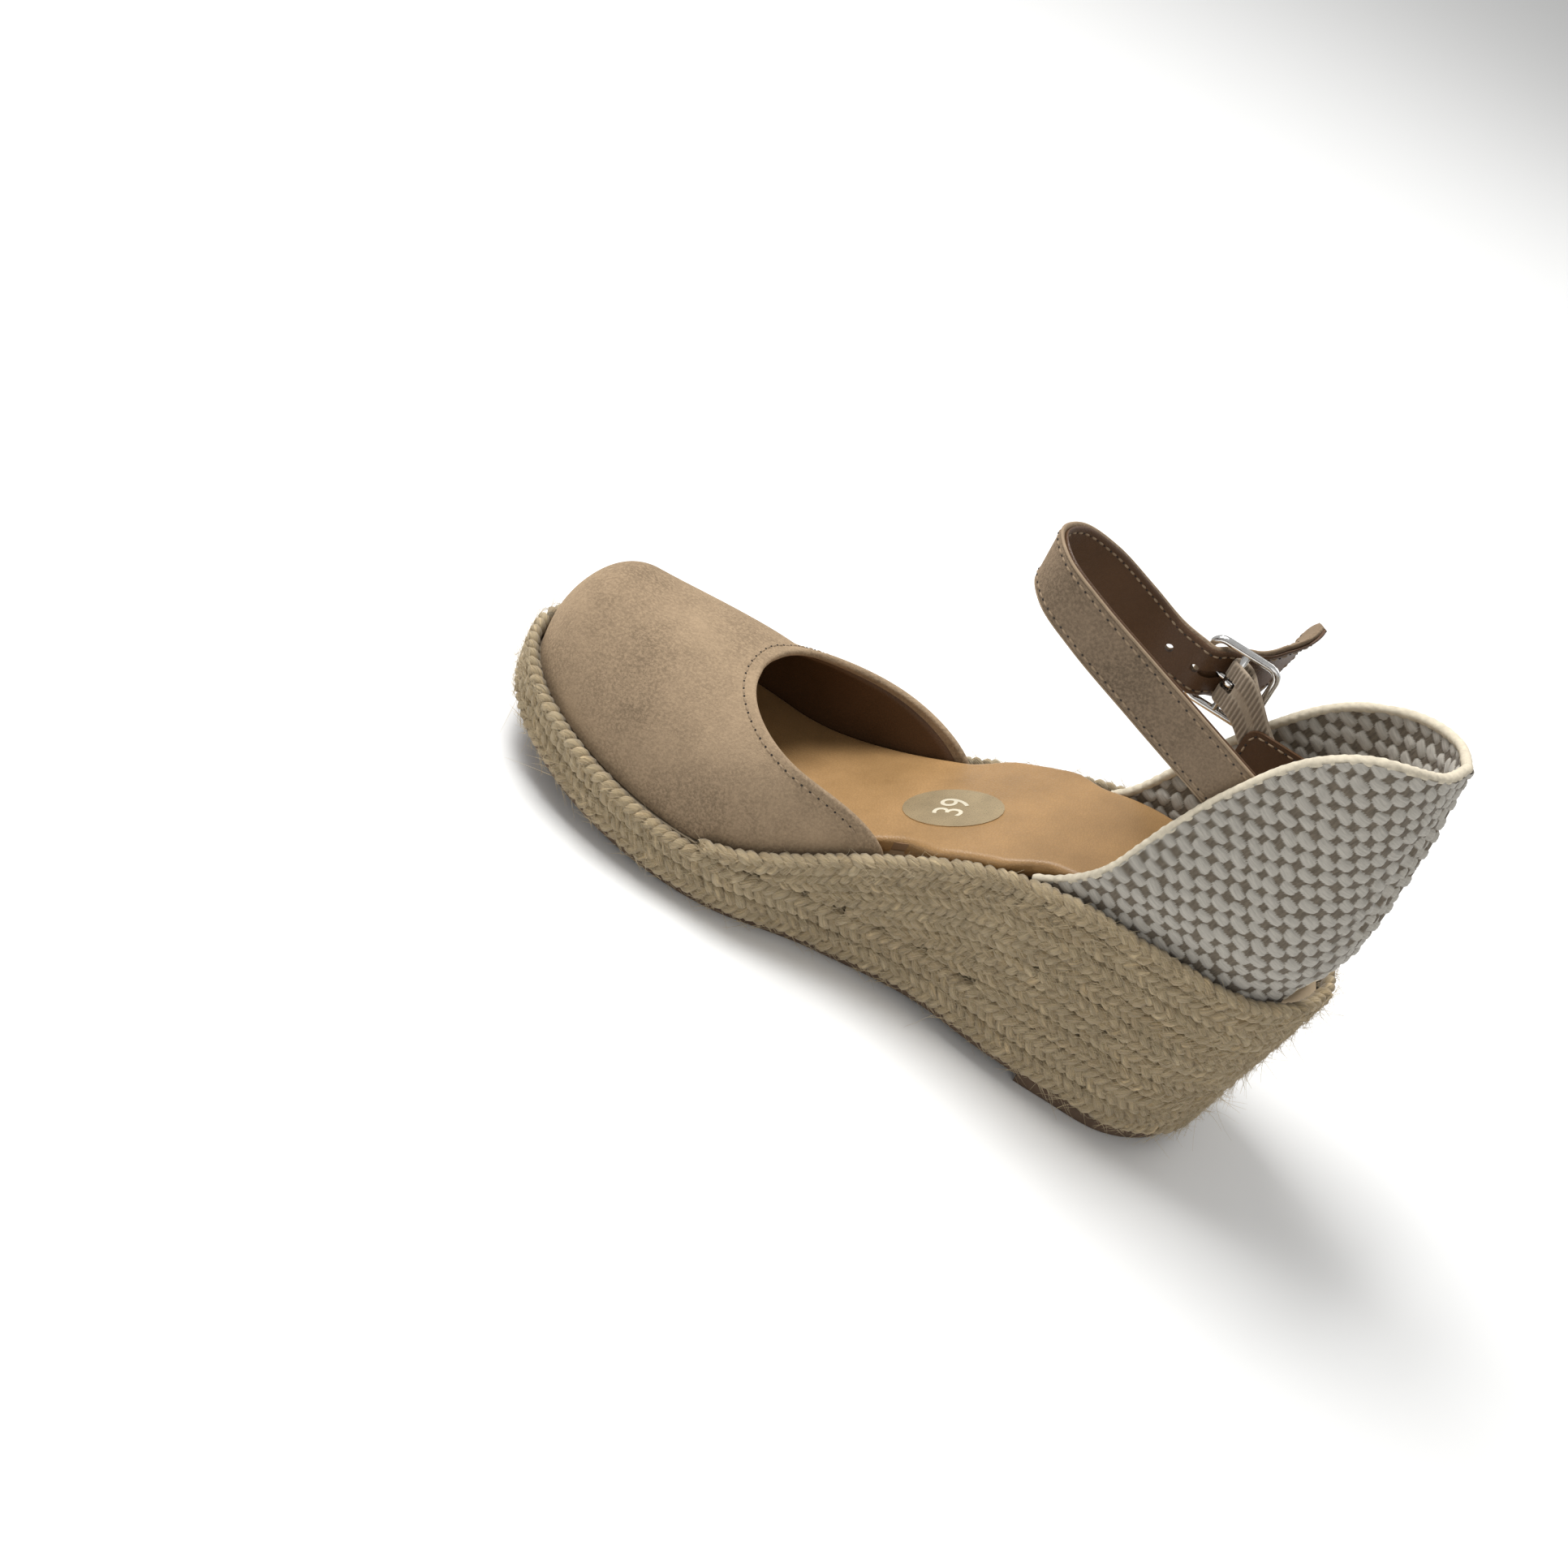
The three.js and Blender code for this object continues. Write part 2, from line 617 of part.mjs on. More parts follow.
// the middle line of the strap, from its sewn end inside the quarter to its free tip
const STRAP_LINE = new THREE.CatmullRomCurve3(
  [
    v3(1, SEAM_Y, 114),
    v3(20, 25.7, 120.5),
    v3(46, 25.8, 129.5),
    v3(67, 24, 136),
    v3(80, 19.5, 139.5),
    v3(86, 11, 141),
    v3(84, 2, 140),
    v3(76, -7, 135),
    v3(65, -15.5, 127),
    v3(54, -21.5, 120),
    v3(BUCKLE_X + HALF_BUCKLE + 3, BUCKLE_Y + FRAME_CLEAR + 0.9, BUCKLE_Z + 0.6),
    v3(BUCKLE_X + HALF_BUCKLE - 2, BUCKLE_Y + FRAME_CLEAR + 0.3, BUCKLE_Z),
    v3(BUCKLE_X + 4.7, BUCKLE_Y - 1.1, BUCKLE_Z),
    v3(BUCKLE_X + 0.5, BUCKLE_Y - BAR_CLEAR - 0.7, BUCKLE_Z),
    v3(BUCKLE_X - 4.5, BUCKLE_Y - BAR_CLEAR - 4, BUCKLE_Z + 3),
    v3(BUCKLE_X - 8.5, BUCKLE_Y - BAR_CLEAR - 9, BUCKLE_Z + 9.5),
    v3(BUCKLE_X - 12.5, BUCKLE_Y - BAR_CLEAR - 14.5, BUCKLE_Z + 19.5),
  ],
  false,
  "centripetal",
);
const TAIL_TWIST = 0.75; // how far the free end has turned about its own length
const STRAP_STEPS = 60;
STRAP_LINE.arcLengthDivisions = 600;
// The share of the strap's length at which it passes the buckle's middle bar.
const BAR_SHARE = range(2000).find((i) => i > 1200 && STRAP_LINE.getPointAt(i / 2000).x < BUCKLE_X) / 2000;
function strapFrame(t) {
  const along = STRAP_LINE.getTangentAt(t);
  const twist = TAIL_TWIST * smooth((t - BAR_SHARE) / (1 - BAR_SHARE));
  const across = v3(0, 0, 1).addScaledVector(along, -along.z).normalize().applyAxisAngle(along, twist);
  return { at: STRAP_LINE.getPointAt(t), along, across, out: across.clone().cross(along).normalize() };
}
// A band along the strap's middle line, between two depths on its outer side.
function strapBand(low, high) {
  const length = STRAP_LINE.getLength();
  const rings = range(STRAP_STEPS + 1).map((i) => {
    const t = i / STRAP_STEPS;
    const f = strapFrame(t);
    const tip = clamp((1 - t) * length, 0.4, STRAP_WIDTH / 2) / (STRAP_WIDTH / 2);
    const half = (STRAP_WIDTH / 2) * Math.sqrt(1 - (1 - tip) ** 2);
    const at = (w, d) => f.at.clone().addScaledVector(f.across, w).addScaledVector(f.out, d);
    return [at(-half, low), at(half, low), at(half, high), at(-half, high)];
  });
  return loft(rings);
}
function strapHoles() {
  const length = STRAP_LINE.getLength();
  let cutter = null;
  for (const k of [-2, -1, 0, 1, 2]) {
    const f = strapFrame(BAR_SHARE + (k * STRAP_HOLE_PITCH - HALF_BUCKLE * 0.5) / length);
    const hole = rod(
      f.at.clone().addScaledVector(f.out, -STRAP_THICK),
      f.at.clone().addScaledVector(f.out, STRAP_THICK),
      STRAP_HOLE / 2,
    );
    cutter = cutter ? cutter.add(hole) : hole;
  }
  // the hole in use is stretched into a slot, in which the prong swings
  const slot = new THREE.BoxGeometry(HALF_BUCKLE * 0.75, 14, PRONG_WIRE + 2 * GAP);
  return cutter.add(solid(slot.translate(BUCKLE_X + HALF_BUCKLE * 0.55, BUCKLE_Y, BUCKLE_Z)));
}
function strapLayer(low, high) {
  return positionsOf(solidOf(strapBand(low, high)).subtract(strapHoles()));
}

// ---------------------------------------------------------------- buckle
const BUCKLE = v3(BUCKLE_X, BUCKLE_Y, BUCKLE_Z);
const FRAME_HALF = STRAP_WIDTH / 2 + BUCKLE_SIDE_PLAY + BUCKLE_WIRE / 2;
function buckleFrame() {
  const corner = 3.5;
  const [l, h] = [HALF_BUCKLE, FRAME_HALF];
  const centres = [
    [l - corner, h - corner, 0],
    [-l + corner, h - corner, 1],
    [-l + corner, -h + corner, 2],
    [l - corner, -h + corner, 3],
  ];
  const bends = 4;
  const rings = centres.flatMap(([cx, cz, quarterTurn]) =>
    range(bends).map((i) => {
      const a = (Math.PI / 2) * (quarterTurn + i / (bends - 1));
      const [dx, dz] = [Math.cos(a), Math.sin(a)];
      return range(8).map((k) => {
        const b = (2 * Math.PI * k) / 8;
        const reach = corner + (BUCKLE_WIRE / 2) * Math.cos(b);
        return v3(cx + dx * reach, (BUCKLE_WIRE / 2) * Math.sin(b), cz + dz * reach);
      });
    }),
  );
  const bar = rod(v3(0, 0, -h), v3(0, 0, h), BAR_WIRE / 2);
  return positionsOf(solidOf(loft(rings, true)).add(bar).translate(BUCKLE.toArray()));
}
const EYE_HOLE = BAR_WIRE / 2 + GAP;
const EYE_RADIUS = EYE_HOLE + 1;
function buckleProng() {
  const half = ELASTIC_SLIT / 2 - GAP * 2;
  const section = [
    [EYE_HOLE, -half],
    [EYE_RADIUS, -half],
    [EYE_RADIUS, half],
    [EYE_HOLE, half],
    [EYE_HOLE, -half],
  ];
  const rounds = section.map(([r, z]) => new THREE.Vector2(r, z));
  const eye = new THREE.LatheGeometry(rounds, 20).rotateX(Math.PI / 2);
  const rest = -BUCKLE_WIRE / 2 - GAP - PRONG_WIRE / 2;
  const root = v3(EYE_HOLE + 0.4, -0.6, 0);
  const pin = rod(root, v3(HALF_BUCKLE + 1.4, rest, 0), PRONG_WIRE / 2, 10);
  return positionsOf(solid(eye).add(pin).translate(BUCKLE.toArray()));
}

// ---------------------------------------------------------------- elastic and patches
const PASS = BUCKLE_WIRE / 2 + GAP + BUCKLE_SWING; // the elastic runs along the inner side of the rear bar
const ELASTIC_RUN = BUCKLE_X - ELASTIC_ANCHOR_X;
// The elastic goes round the middle bar, and both of its ends run back and down into the shoe.
function elasticTab() {
  const radius = BAR_WIRE / 2 + GAP + ELASTIC_PLY / 2;
  const inner = PASS + ELASTIC_PLY / 2;
  const outer = inner + ELASTIC_PLY + GAP;
  const wrap = range(9).map((i) => Math.PI * (0.5 - (1.25 * i) / 8));
  // x from the bar towards the toe, y from the bar towards the foot
  const line = [
    [-ELASTIC_RUN, outer],
    [-HALF_BUCKLE * 0.7, outer],
    [-3, outer - 0.6],
    ...wrap.map((a) => [radius * Math.cos(a), radius * Math.sin(a)]),
    [-4.2, 0.4],
    [-HALF_BUCKLE * 0.7, inner - 0.1],
    [-ELASTIC_RUN, inner],
  ].map(([x, y]) => v3(x, y, 0));
  const drop = (x) => ELASTIC_DROP * smooth((-x - 2) / (ELASTIC_RUN - 2));
  const rings = line.map((p, i) => {
    const along = line[Math.min(i + 1, line.length - 1)].clone().sub(line[Math.max(i - 1, 0)]).normalize();
    const side = v3(-along.y, along.x, 0).multiplyScalar(ELASTIC_PLY / 2);
    return [-1, 1].flatMap((w) =>
      [w, -w].map((d) => {
        const q = p.clone().addScaledVector(side, d);
        return v3(q.x, q.y, (w * ELASTIC_WIDTH) / 2 - drop(p.x));
      }),
    );
  });
  const slit = new THREE.BoxGeometry(2 * (EYE_RADIUS + GAP), 4 * EYE_RADIUS, ELASTIC_SLIT);
  return positionsOf(solidOf(loft(rings)).subtract(solid(slit)).translate(BUCKLE.toArray()));
}
// A round-cornered leather patch, flat against the foot side of a sewn end.
function patch(x, y, z, length, height) {
  const corner = 4;
  const outline = new THREE.Shape();
  const [l, h] = [length / 2 - corner, height / 2 - corner];
  const quarterTurn = Math.PI / 2;
  outline.absarc(l, h, corner, 0, quarterTurn);
  outline.absarc(-l, h, corner, quarterTurn, 2 * quarterTurn);
  outline.absarc(-l, -h, corner, 2 * quarterTurn, 3 * quarterTurn);
  outline.absarc(l, -h, corner, 3 * quarterTurn, 4 * quarterTurn);
  const shape = { depth: PATCH_THICK, bevelEnabled: false, curveSegments: 4 };
  const plate = new THREE.ExtrudeGeometry(outline, shape);
  return positionsOf(solid(plate.rotateX(quarterTurn).translate(x, y, z)));
}
const STRAP_PATCH_Y = SEAM_Y - STRAP_THICK / 2 - GAP;
const ELASTIC_PATCH_Y = BUCKLE_Y + PASS + 2 * ELASTIC_PLY + GAP + GAP + PATCH_THICK;

// ---------------------------------------------------------------- assembly
const sandal = new THREE.Group();
const add = (...args) => sandal.add(finish(...args));

add("wedge_core", wedgeCore(), 0xb98f63, 0.9);
add("steel_shank", strip(...SHANK_ENDS, SHANK_WIDTH, SHANK_TOP - SHANK_THICK, SHANK_TOP), 0x9a9a9a, 0.4, 1);
const LINING_DEPTH = VAMP_SKIN + PUFF_SKIN + 2 * (GAP + PUFF_PLAY);
const UPPER_THICK = Math.max(LINING_DEPTH + LINING_SKIN, QUARTER_CLOTH);
const LAYER_INSET = UPPER_INSET + UPPER_THICK + LAYER_CLEAR;
const BOARD_CLEAR = 1.3; // gaps between the core and the board
const BOARD_LOW = BOARD_CLEAR * GAP;
const FOAM_LOW = BOARD_LOW + BOARD_THICK + GAP;
const SOCK_LOW = FOAM_LOW + FOAM_THICK + GAP;
const LABEL_LOW = SOCK_LOW + SOCK_THICK + GAP;
add("insole_board", footbedLayer(BOARD_LOW, BOARD_LOW + BOARD_THICK, LAYER_INSET, -GAP), 0x8a6b4a, 0.9);
add("footbed_foam", footbedLayer(FOAM_LOW, FOAM_LOW + FOAM_THICK, LAYER_INSET, -GAP), 0xe8dcc4, 0.95);
add("insole_sock", footbedLayer(SOCK_LOW, SOCK_LOW + SOCK_THICK, LAYER_INSET, 1), 0xc08a52, 0.6);
add("size_label", sizeLabel(LABEL_LOW), 0x8f7b50, 0.4);
for (const [name, positions] of jute()) add(name, positions, 0xb5a17c, 0.95);
const outsoleTop = (x) => underHeight(x) + OUTSOLE_THICK;
add("outsole", rubber(LIFT_FRONT + GAP, TOE_TIP, underHeight, outsoleTop), 0x5a4632, 0.8);
add("heel_lift", rubber(HEEL_BACK, LIFT_FRONT, () => 0, () => LIFT_THICK), 0x5a4632, 0.8);
add("vamp_suede", vampLayer(0, VAMP_SKIN), 0xb89a78, 0.95);
add("toe_puff", vampLayer(VAMP_SKIN + GAP + PUFF_PLAY, PUFF_SKIN, PUFF_BACK), 0xd8cfc0, 0.9);
add("vamp_lining", vampLayer(LINING_DEPTH, LINING_SKIN), 0x8a5a32, 0.7);
add("quarter_cloth", quarter(), 0xcfc9bd, 0.95);
add("strap_suede", strapLayer(STRAP_BACK / 2 + GAP - STRAP_SUEDE / 2, STRAP_THICK / 2), 0xb89a78, 0.95);
add("strap_lining", strapLayer(-STRAP_THICK / 2, -STRAP_THICK / 2 + STRAP_BACK), 0x8a5a32, 0.7);
add("strap_patch", patch(PATCH_X, STRAP_PATCH_Y, ...STRAP_PATCH), 0x8a5a32, 0.7);
add("elastic_tab", elasticTab(), 0xbfae9c, 0.9);
const elasticPatch = patch(PATCH_X, ELASTIC_PATCH_Y, BUCKLE_Z - ELASTIC_DROP, ...ELASTIC_PATCH);
add("elastic_patch", elasticPatch, 0x8a5a32, 0.7);
add("buckle_frame", buckleFrame(), 0xd8d8d8, 0.2, 1);
add("buckle_prong", buckleProng(), 0xd8d8d8, 0.2, 1);

export default sandal;
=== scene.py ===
"""Dresses the wedge sandal's frame with braided jute, woven cloth, suede, leather and metal."""

import math

import bmesh
import bpy
import numpy as np
from mathutils import Matrix, Vector


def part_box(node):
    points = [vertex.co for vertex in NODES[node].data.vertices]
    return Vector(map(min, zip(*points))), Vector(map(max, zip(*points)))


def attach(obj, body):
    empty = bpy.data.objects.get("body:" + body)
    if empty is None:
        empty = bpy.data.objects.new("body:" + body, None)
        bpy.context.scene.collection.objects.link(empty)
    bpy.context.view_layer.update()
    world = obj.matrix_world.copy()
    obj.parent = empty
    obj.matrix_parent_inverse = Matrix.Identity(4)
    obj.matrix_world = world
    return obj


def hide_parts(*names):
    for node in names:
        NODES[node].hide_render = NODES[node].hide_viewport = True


bl_info = {
    "name": "Wedge sandal",
    "version": (1, 0, 0),
    "blender": (4, 5, 0),
    "location": "View3D > Sidebar > Sandal",
    "description": "Builds the visible pieces of a wedge sandal around its frame",
    "category": "Object",
}

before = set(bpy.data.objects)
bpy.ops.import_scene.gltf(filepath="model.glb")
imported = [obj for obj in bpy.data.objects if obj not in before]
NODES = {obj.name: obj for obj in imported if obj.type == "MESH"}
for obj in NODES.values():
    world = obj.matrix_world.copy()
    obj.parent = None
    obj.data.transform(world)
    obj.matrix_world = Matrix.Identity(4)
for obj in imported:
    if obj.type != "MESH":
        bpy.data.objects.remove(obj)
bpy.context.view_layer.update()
MM = 0.001

# ------------------------------------------------------------ the sandal's own lines, in millimetres
GAP = 0.3
HEEL_BACK, TOE_TIP = -34.0, 208.0
HEEL_TOP, BALL_TOP = 65.0, 18.0
SLOPE = (22.0, 140.0)
TOE_SPRING, SPRING_START = 15.0, 115.0
HEEL_RAKE, SIDE_TAPER = 11.0, 0.13
LIFT_THICK, LIFT_FRONT = 5.5, 15.0
OUTSOLE_THICK, RUBBER_OUT = 2.6, 1.8
BRAID_THICK, BRAID_ABOVE_RIM, LOW_BRAID, HIGH_BRAIDS = 4.2, 4.0, 8.2, 7
BRAID_END_SHARE, BRAID_FRONT = 0.45, 130.0
WAIST, WAIST_BLEND = (56.0, 70.0), 8.0
SOCK_TOP, SOCK_SKIRT, SOCK_EDGE = 6.5, 1.5, 1.9
VAMP_LINING_DEPTH = 3.0
UPPER_INSET, SEAT = 0.7, 0.8
VAMP_ENDS, VAMP_THROAT, VAMP_FRONT = (85.0, 82.0), 145.0, TOE_TIP - 0.6
VAMP_HEIGHT, VAMP_RISE, TOE_HEIGHT, TOE_ROUND = 38.5, 0.4, 34.0, 18.0
TOE_SHARE = 5 / 13
QUARTER_CLOTH, QUARTER_BULGE, QUARTER_LEAN = 2.2, 2.6, 4.5
WINDOW_HALF, WINDOW_HEIGHT = 19.0, 15.0
EDGE_MEDIAL = [(-34, 146), (-12, 149), (3, 139), (16, 118), (24, 98), (31, 79), (38, 69), (46, 62)]
EDGE_LATERAL = [(-34, 146), (-16, 139), (2, 128), (14, 113), (24, 96), (32, 79), (38, 69), (42, 64.5)]
OUTLINE_SHARES = (0, 0.02, 0.07, 0.16, 0.27, 0.4, 0.52, 0.64, 0.76, 0.87, 0.95, 0.988, 1)
MEDIAL_HALF = (0, 14.5, 25, 27.6, 28, 24.5, 28.5, 38.5, 41, 37, 28, 17, 6)
LATERAL_HALF = (0, -14, -24, -28, -30, -31.5, -34.5, -38.5, -38.5, -32, -19, -5, 6)
STRAP_WIDTH, STRAP_SUEDE, STRAP_BACK = 16.0, 1.2, 1.0
STRAP_THICK = STRAP_SUEDE + GAP + STRAP_BACK
STRAP_HOLE, STRAP_HOLE_PITCH = 2.4, 9.0
BUCKLE = np.array([31.0, -26.6, 117.0])
HALF_BUCKLE, BUCKLE_WIRE, BAR_WIRE, SIDE_PLAY, PRONG_WIRE = 10.0, 2.4, 2.2, 0.9, 1.7
ELASTIC_WIDTH, ELASTIC_PLY, ELASTIC_SLIT, ELASTIC_RUN, ELASTIC_DROP = 14.0, 1.1, 3.4, 23.0, 15.0
BAR_CLEAR = BAR_WIRE / 2 + GAP + ELASTIC_PLY + GAP + STRAP_THICK / 2
FRAME_CLEAR = BUCKLE_WIRE / 2 + GAP + STRAP_THICK / 2
TAIL_TWIST, BUCKLE_SWING = 0.75, 0.9


def mix(a, b, t):
    """The value a share t of the way from a to b."""
    return a + (b - a) * t


def smooth(t):
    """An even rise from 0 to 1."""
    c = np.clip(t, 0, 1)
    return c * c * (3 - 2 * c)


def unit(v):
    """Rows of vectors brought to length one."""
    return v / np.maximum(np.linalg.norm(v, axis=-1, keepdims=True), 1e-9)


class Path:
    """A smooth line through points, measured along its own length."""

    def __init__(self, points, samples=2400):
        p = np.array(points, float)
        ends = np.vstack([2 * p[0] - p[1], p, 2 * p[-1] - p[-2]])
        t = np.linspace(0, len(p) - 1, samples)
        i = np.minimum(t.astype(int), len(p) - 2)
        w = (t - i)[:, None]
        p0, p1, p2, p3 = (ends[i + k] for k in range(4))
        d0, d1, d2 = (
            np.maximum(np.linalg.norm(b - a, axis=1) ** 0.5, 1e-4)[:, None]
            for a, b in ((p0, p1), (p1, p2), (p2, p3))
        )
        t1 = ((p1 - p0) / d0 - (p2 - p0) / (d0 + d1) + (p2 - p1) / d1) * d1
        t2 = ((p2 - p1) / d1 - (p3 - p1) / (d1 + d2) + (p3 - p2) / d2) * d1
        self.p = p1 + t1 * w + (-3 * p1 + 3 * p2 - 2 * t1 - t2) * w**2 + (2 * p1 - 2 * p2 + t1 + t2) * w**3
        step = np.linalg.norm(np.diff(self.p, axis=0), axis=1)
        self.length = step.sum()
        self.share = np.concatenate([[0], np.cumsum(step)]) / self.length

    def at(self, share):
        """Points at these shares of the length."""
        return np.stack([np.interp(share, self.share, self.p[:, k]) for k in range(self.p.shape[1])], -1)

    def way(self, share, step=0.003):
        """Unit directions along the line."""
        return unit(self.at(np.clip(share + step, 0, 1)) - self.at(np.clip(share - step, 0, 1)))


SOLE_LENGTH = TOE_TIP - HEEL_BACK
MEDIAL_PATH, LATERAL_PATH = (
    Path([(HEEL_BACK + s * SOLE_LENGTH, y, 0) for s, y in zip(OUTLINE_SHARES, half)])
    for half in (MEDIAL_HALF, LATERAL_HALF)
)


def rim(u):
    """The plan outline: u runs from -1 at the toe, by the outer side, to 0 at the heel and 1 at the toe."""
    u = np.asarray(u, float)
    inner, outer = MEDIAL_PATH.at(np.clip(u, 0, 1)), LATERAL_PATH.at(np.clip(-u, 0, 1))
    return np.where((u >= 0)[..., None], inner, outer)


def rim_normal(u):
    """Outward direction of the plan outline."""
    d = unit(rim(np.clip(u + 0.004, -1, 1)) - rim(np.clip(u - 0.004, -1, 1)))
    return np.stack([-d[..., 1], d[..., 0], np.zeros_like(d[..., 0])], -1)


def rim_at(x, side):
    """The u on one side where the outline reaches x."""
    path = MEDIAL_PATH if side > 0 else LATERAL_PATH
    return side * np.interp(x, path.p[:, 0], path.share)


def side_y(x, side):
    """How far the outline is from the middle line at x."""
    path = MEDIAL_PATH if side > 0 else LATERAL_PATH
    return np.interp(x, path.p[:, 0], path.p[:, 1])


def spring_height(x):
    """Lift of the toe off the ground."""
    return TOE_SPRING * np.clip((x - SPRING_START) / (TOE_TIP - SPRING_START), 0, 1) ** 2


def rim_height(x):
    """Height of the wedge's upper rim."""
    fall = smooth((x - SLOPE[0]) / (SLOPE[1] - SLOPE[0]))
    return mix(HEEL_TOP, BALL_TOP, fall) + spring_height(x) * 0.8


def under_height(x):
    """Height of the thin outsole's underside."""
    arch = smooth((LIFT_FRONT + 75 - x) / 50)
    return spring_height(x) + (LIFT_THICK - OUTSOLE_THICK) * arch


def base_height(x):
    """Height of the jute's lower edge."""
    return under_height(x) + OUTSOLE_THICK + GAP


def wall(u, z, out):
    """A point of the wedge's side wall at height z, stood off by out."""
    r, n = rim(u), rim_normal(u)
    depth = np.clip((rim_height(r[..., 0]) - z) / HEEL_TOP, 0, 1)
    rear = smooth((70 - r[..., 0]) / (70 - HEEL_BACK))
    return np.stack(
        [
            r[..., 0] + HEEL_RAKE * depth * rear + n[..., 0] * out,
            r[..., 1] * (1 - SIDE_TAPER * depth) + n[..., 1] * out,
            z + np.zeros_like(r[..., 0]),
        ],
        -1,
    )


def vamp_point(along, angle):
    """The vamp's outer surface: along runs from toe to topline, angle from inner to outer edge."""
    across = np.clip(angle, 0, math.pi)
    side = np.sin(across)
    tip = mix(VAMP_ENDS[0], VAMP_ENDS[1], across / math.pi)
    rear = mix(tip, VAMP_THROAT, side**0.9)
    nose = np.cos(math.pi / 2 * np.clip(along / TOE_SHARE, 0, 1))
    behind = np.clip((along - TOE_SHARE) / (1 - TOE_SHARE), 0, 1.2)
    x = mix(VAMP_FRONT - TOE_ROUND * (1 - nose), rear, behind)
    inner, outer = side_y(x, 1) - UPPER_INSET, side_y(x, -1) + UPPER_INSET
    back = smooth((x - VAMP_THROAT) / (VAMP_FRONT - TOE_ROUND - VAMP_THROAT))
    crown = mix(VAMP_HEIGHT, TOE_HEIGHT, back) + VAMP_RISE * np.maximum(0, VAMP_THROAT - x)
    height = crown * np.sqrt(np.maximum(0, 1 - nose * nose))
    c = np.cos(angle)
    reach = np.sign(c) * np.abs(c) ** 0.85 * (1 - 0.08 * side)
    y = (inner + outer) / 2 + (inner - outer) / 2 * reach
    return np.stack([x, y, rim_height(x) + SEAT + height * side**0.75], -1)


EDGES = {1: Path([(x, z) for x, z in EDGE_MEDIAL]), -1: Path([(x, z) for x, z in EDGE_LATERAL])}


def quarter_top(u):
    """Height of the quarter's top edge."""
    x = rim(u)[..., 0]
    inner, outer = (np.interp(x, EDGES[k].p[:, 0], EDGES[k].p[:, 1]) for k in (1, -1))
    return np.where(np.asarray(u) >= 0, inner, outer)


def rim_reach(u):
    """Distance along the outline from the heel's back."""
    return np.abs(u) * np.where(np.asarray(u) >= 0, MEDIAL_PATH.length, LATERAL_PATH.length)


def quarter_bottom(u):
    """Height of the quarter's lower edge, with the arched window at the heel."""
    arch = np.clip(1 - (rim_reach(u) / WINDOW_HALF) ** 2, 0, 1)
    return rim_height(rim(u)[..., 0]) + SEAT + WINDOW_HEIGHT * np.sqrt(arch)


def cloth_point(u, z, depth):
    """A point of the quarter at a depth below its outer surface."""
    r, n = rim(u), rim_normal(u)
    above = z - rim_height(r[..., 0]) - BRAID_ABOVE_RIM - GAP
    up = np.clip(above / (EDGE_MEDIAL[0][1] - HEEL_TOP), 0, 1)
    swell = QUARTER_BULGE * smooth(above / 14)
    lean = QUARTER_LEAN * smooth(-n[..., 0]) * up * up
    out = swell - UPPER_INSET - lean - depth
    return np.stack([r[..., 0] + n[..., 0] * out, r[..., 1] + n[..., 1] * out, z + 0 * out], -1)


BX, BY, BZ = BUCKLE
STRAP_LINE = Path(
    [
        (1, 25.6, 114),
        (20, 25.7, 120.5),
        (46, 25.8, 129.5),
        (67, 24, 136),
        (80, 19.5, 139.5),
        (86, 11, 141),
        (84, 2, 140),
        (76, -7, 135),
        (65, -15.5, 127),
        (54, -21.5, 120),
        (BX + HALF_BUCKLE + 3, BY + FRAME_CLEAR + 0.9, BZ + 0.6),
        (BX + HALF_BUCKLE - 2, BY + FRAME_CLEAR + 0.3, BZ),
        (BX + 4.7, BY - 1.1, BZ),
        (BX + 0.5, BY - BAR_CLEAR - 0.7, BZ),
        (BX - 4.5, BY - BAR_CLEAR - 4, BZ + 3),
        (BX - 8.5, BY - BAR_CLEAR - 9, BZ + 9.5),
        (BX - 12.5, BY - BAR_CLEAR - 14.5, BZ + 19.5),
    ]
)
SHARES = np.linspace(0.6, 1, 1200)
BAR_SHARE = SHARES[np.argmax(STRAP_LINE.at(SHARES)[:, 0] < BX)]


def strap_frame(t):
    """Point, direction, width direction and outward direction of the strap."""
    at, along = STRAP_LINE.at(t), STRAP_LINE.way(t)
    up = unit(np.array([0, 0, 1.0]) - along * along[..., 2:3])
    a = TAIL_TWIST * smooth((t - BAR_SHARE) / (1 - BAR_SHARE))[..., None]
    across = up * np.cos(a) + np.cross(along, up) * np.sin(a)
    return at, along, across, unit(np.cross(across, along))


def strap_point(t, w, d):
    """A point of the strap at w across it and d out from its middle."""
    at, _, across, out = strap_frame(t)
    return at + across * np.asarray(w)[..., None] + out * np.asarray(d)[..., None]


# ------------------------------------------------------------ mesh tools
def grid_faces(rows, columns, wrap_rows=False, wrap_columns=False):
    """Quads of a grid of points, joined up on the wrapped sides."""
    i = np.arange(rows if wrap_rows else rows - 1)[:, None]
    j = np.arange(columns if wrap_columns else columns - 1)[None, :]
    i2, j2 = (i + 1) % rows, (j + 1) % columns
    corners = (i * columns + j, i * columns + j2, i2 * columns + j2, i2 * columns + j)
    return np.stack(np.broadcast_arrays(*corners), -1).reshape(-1, 4)


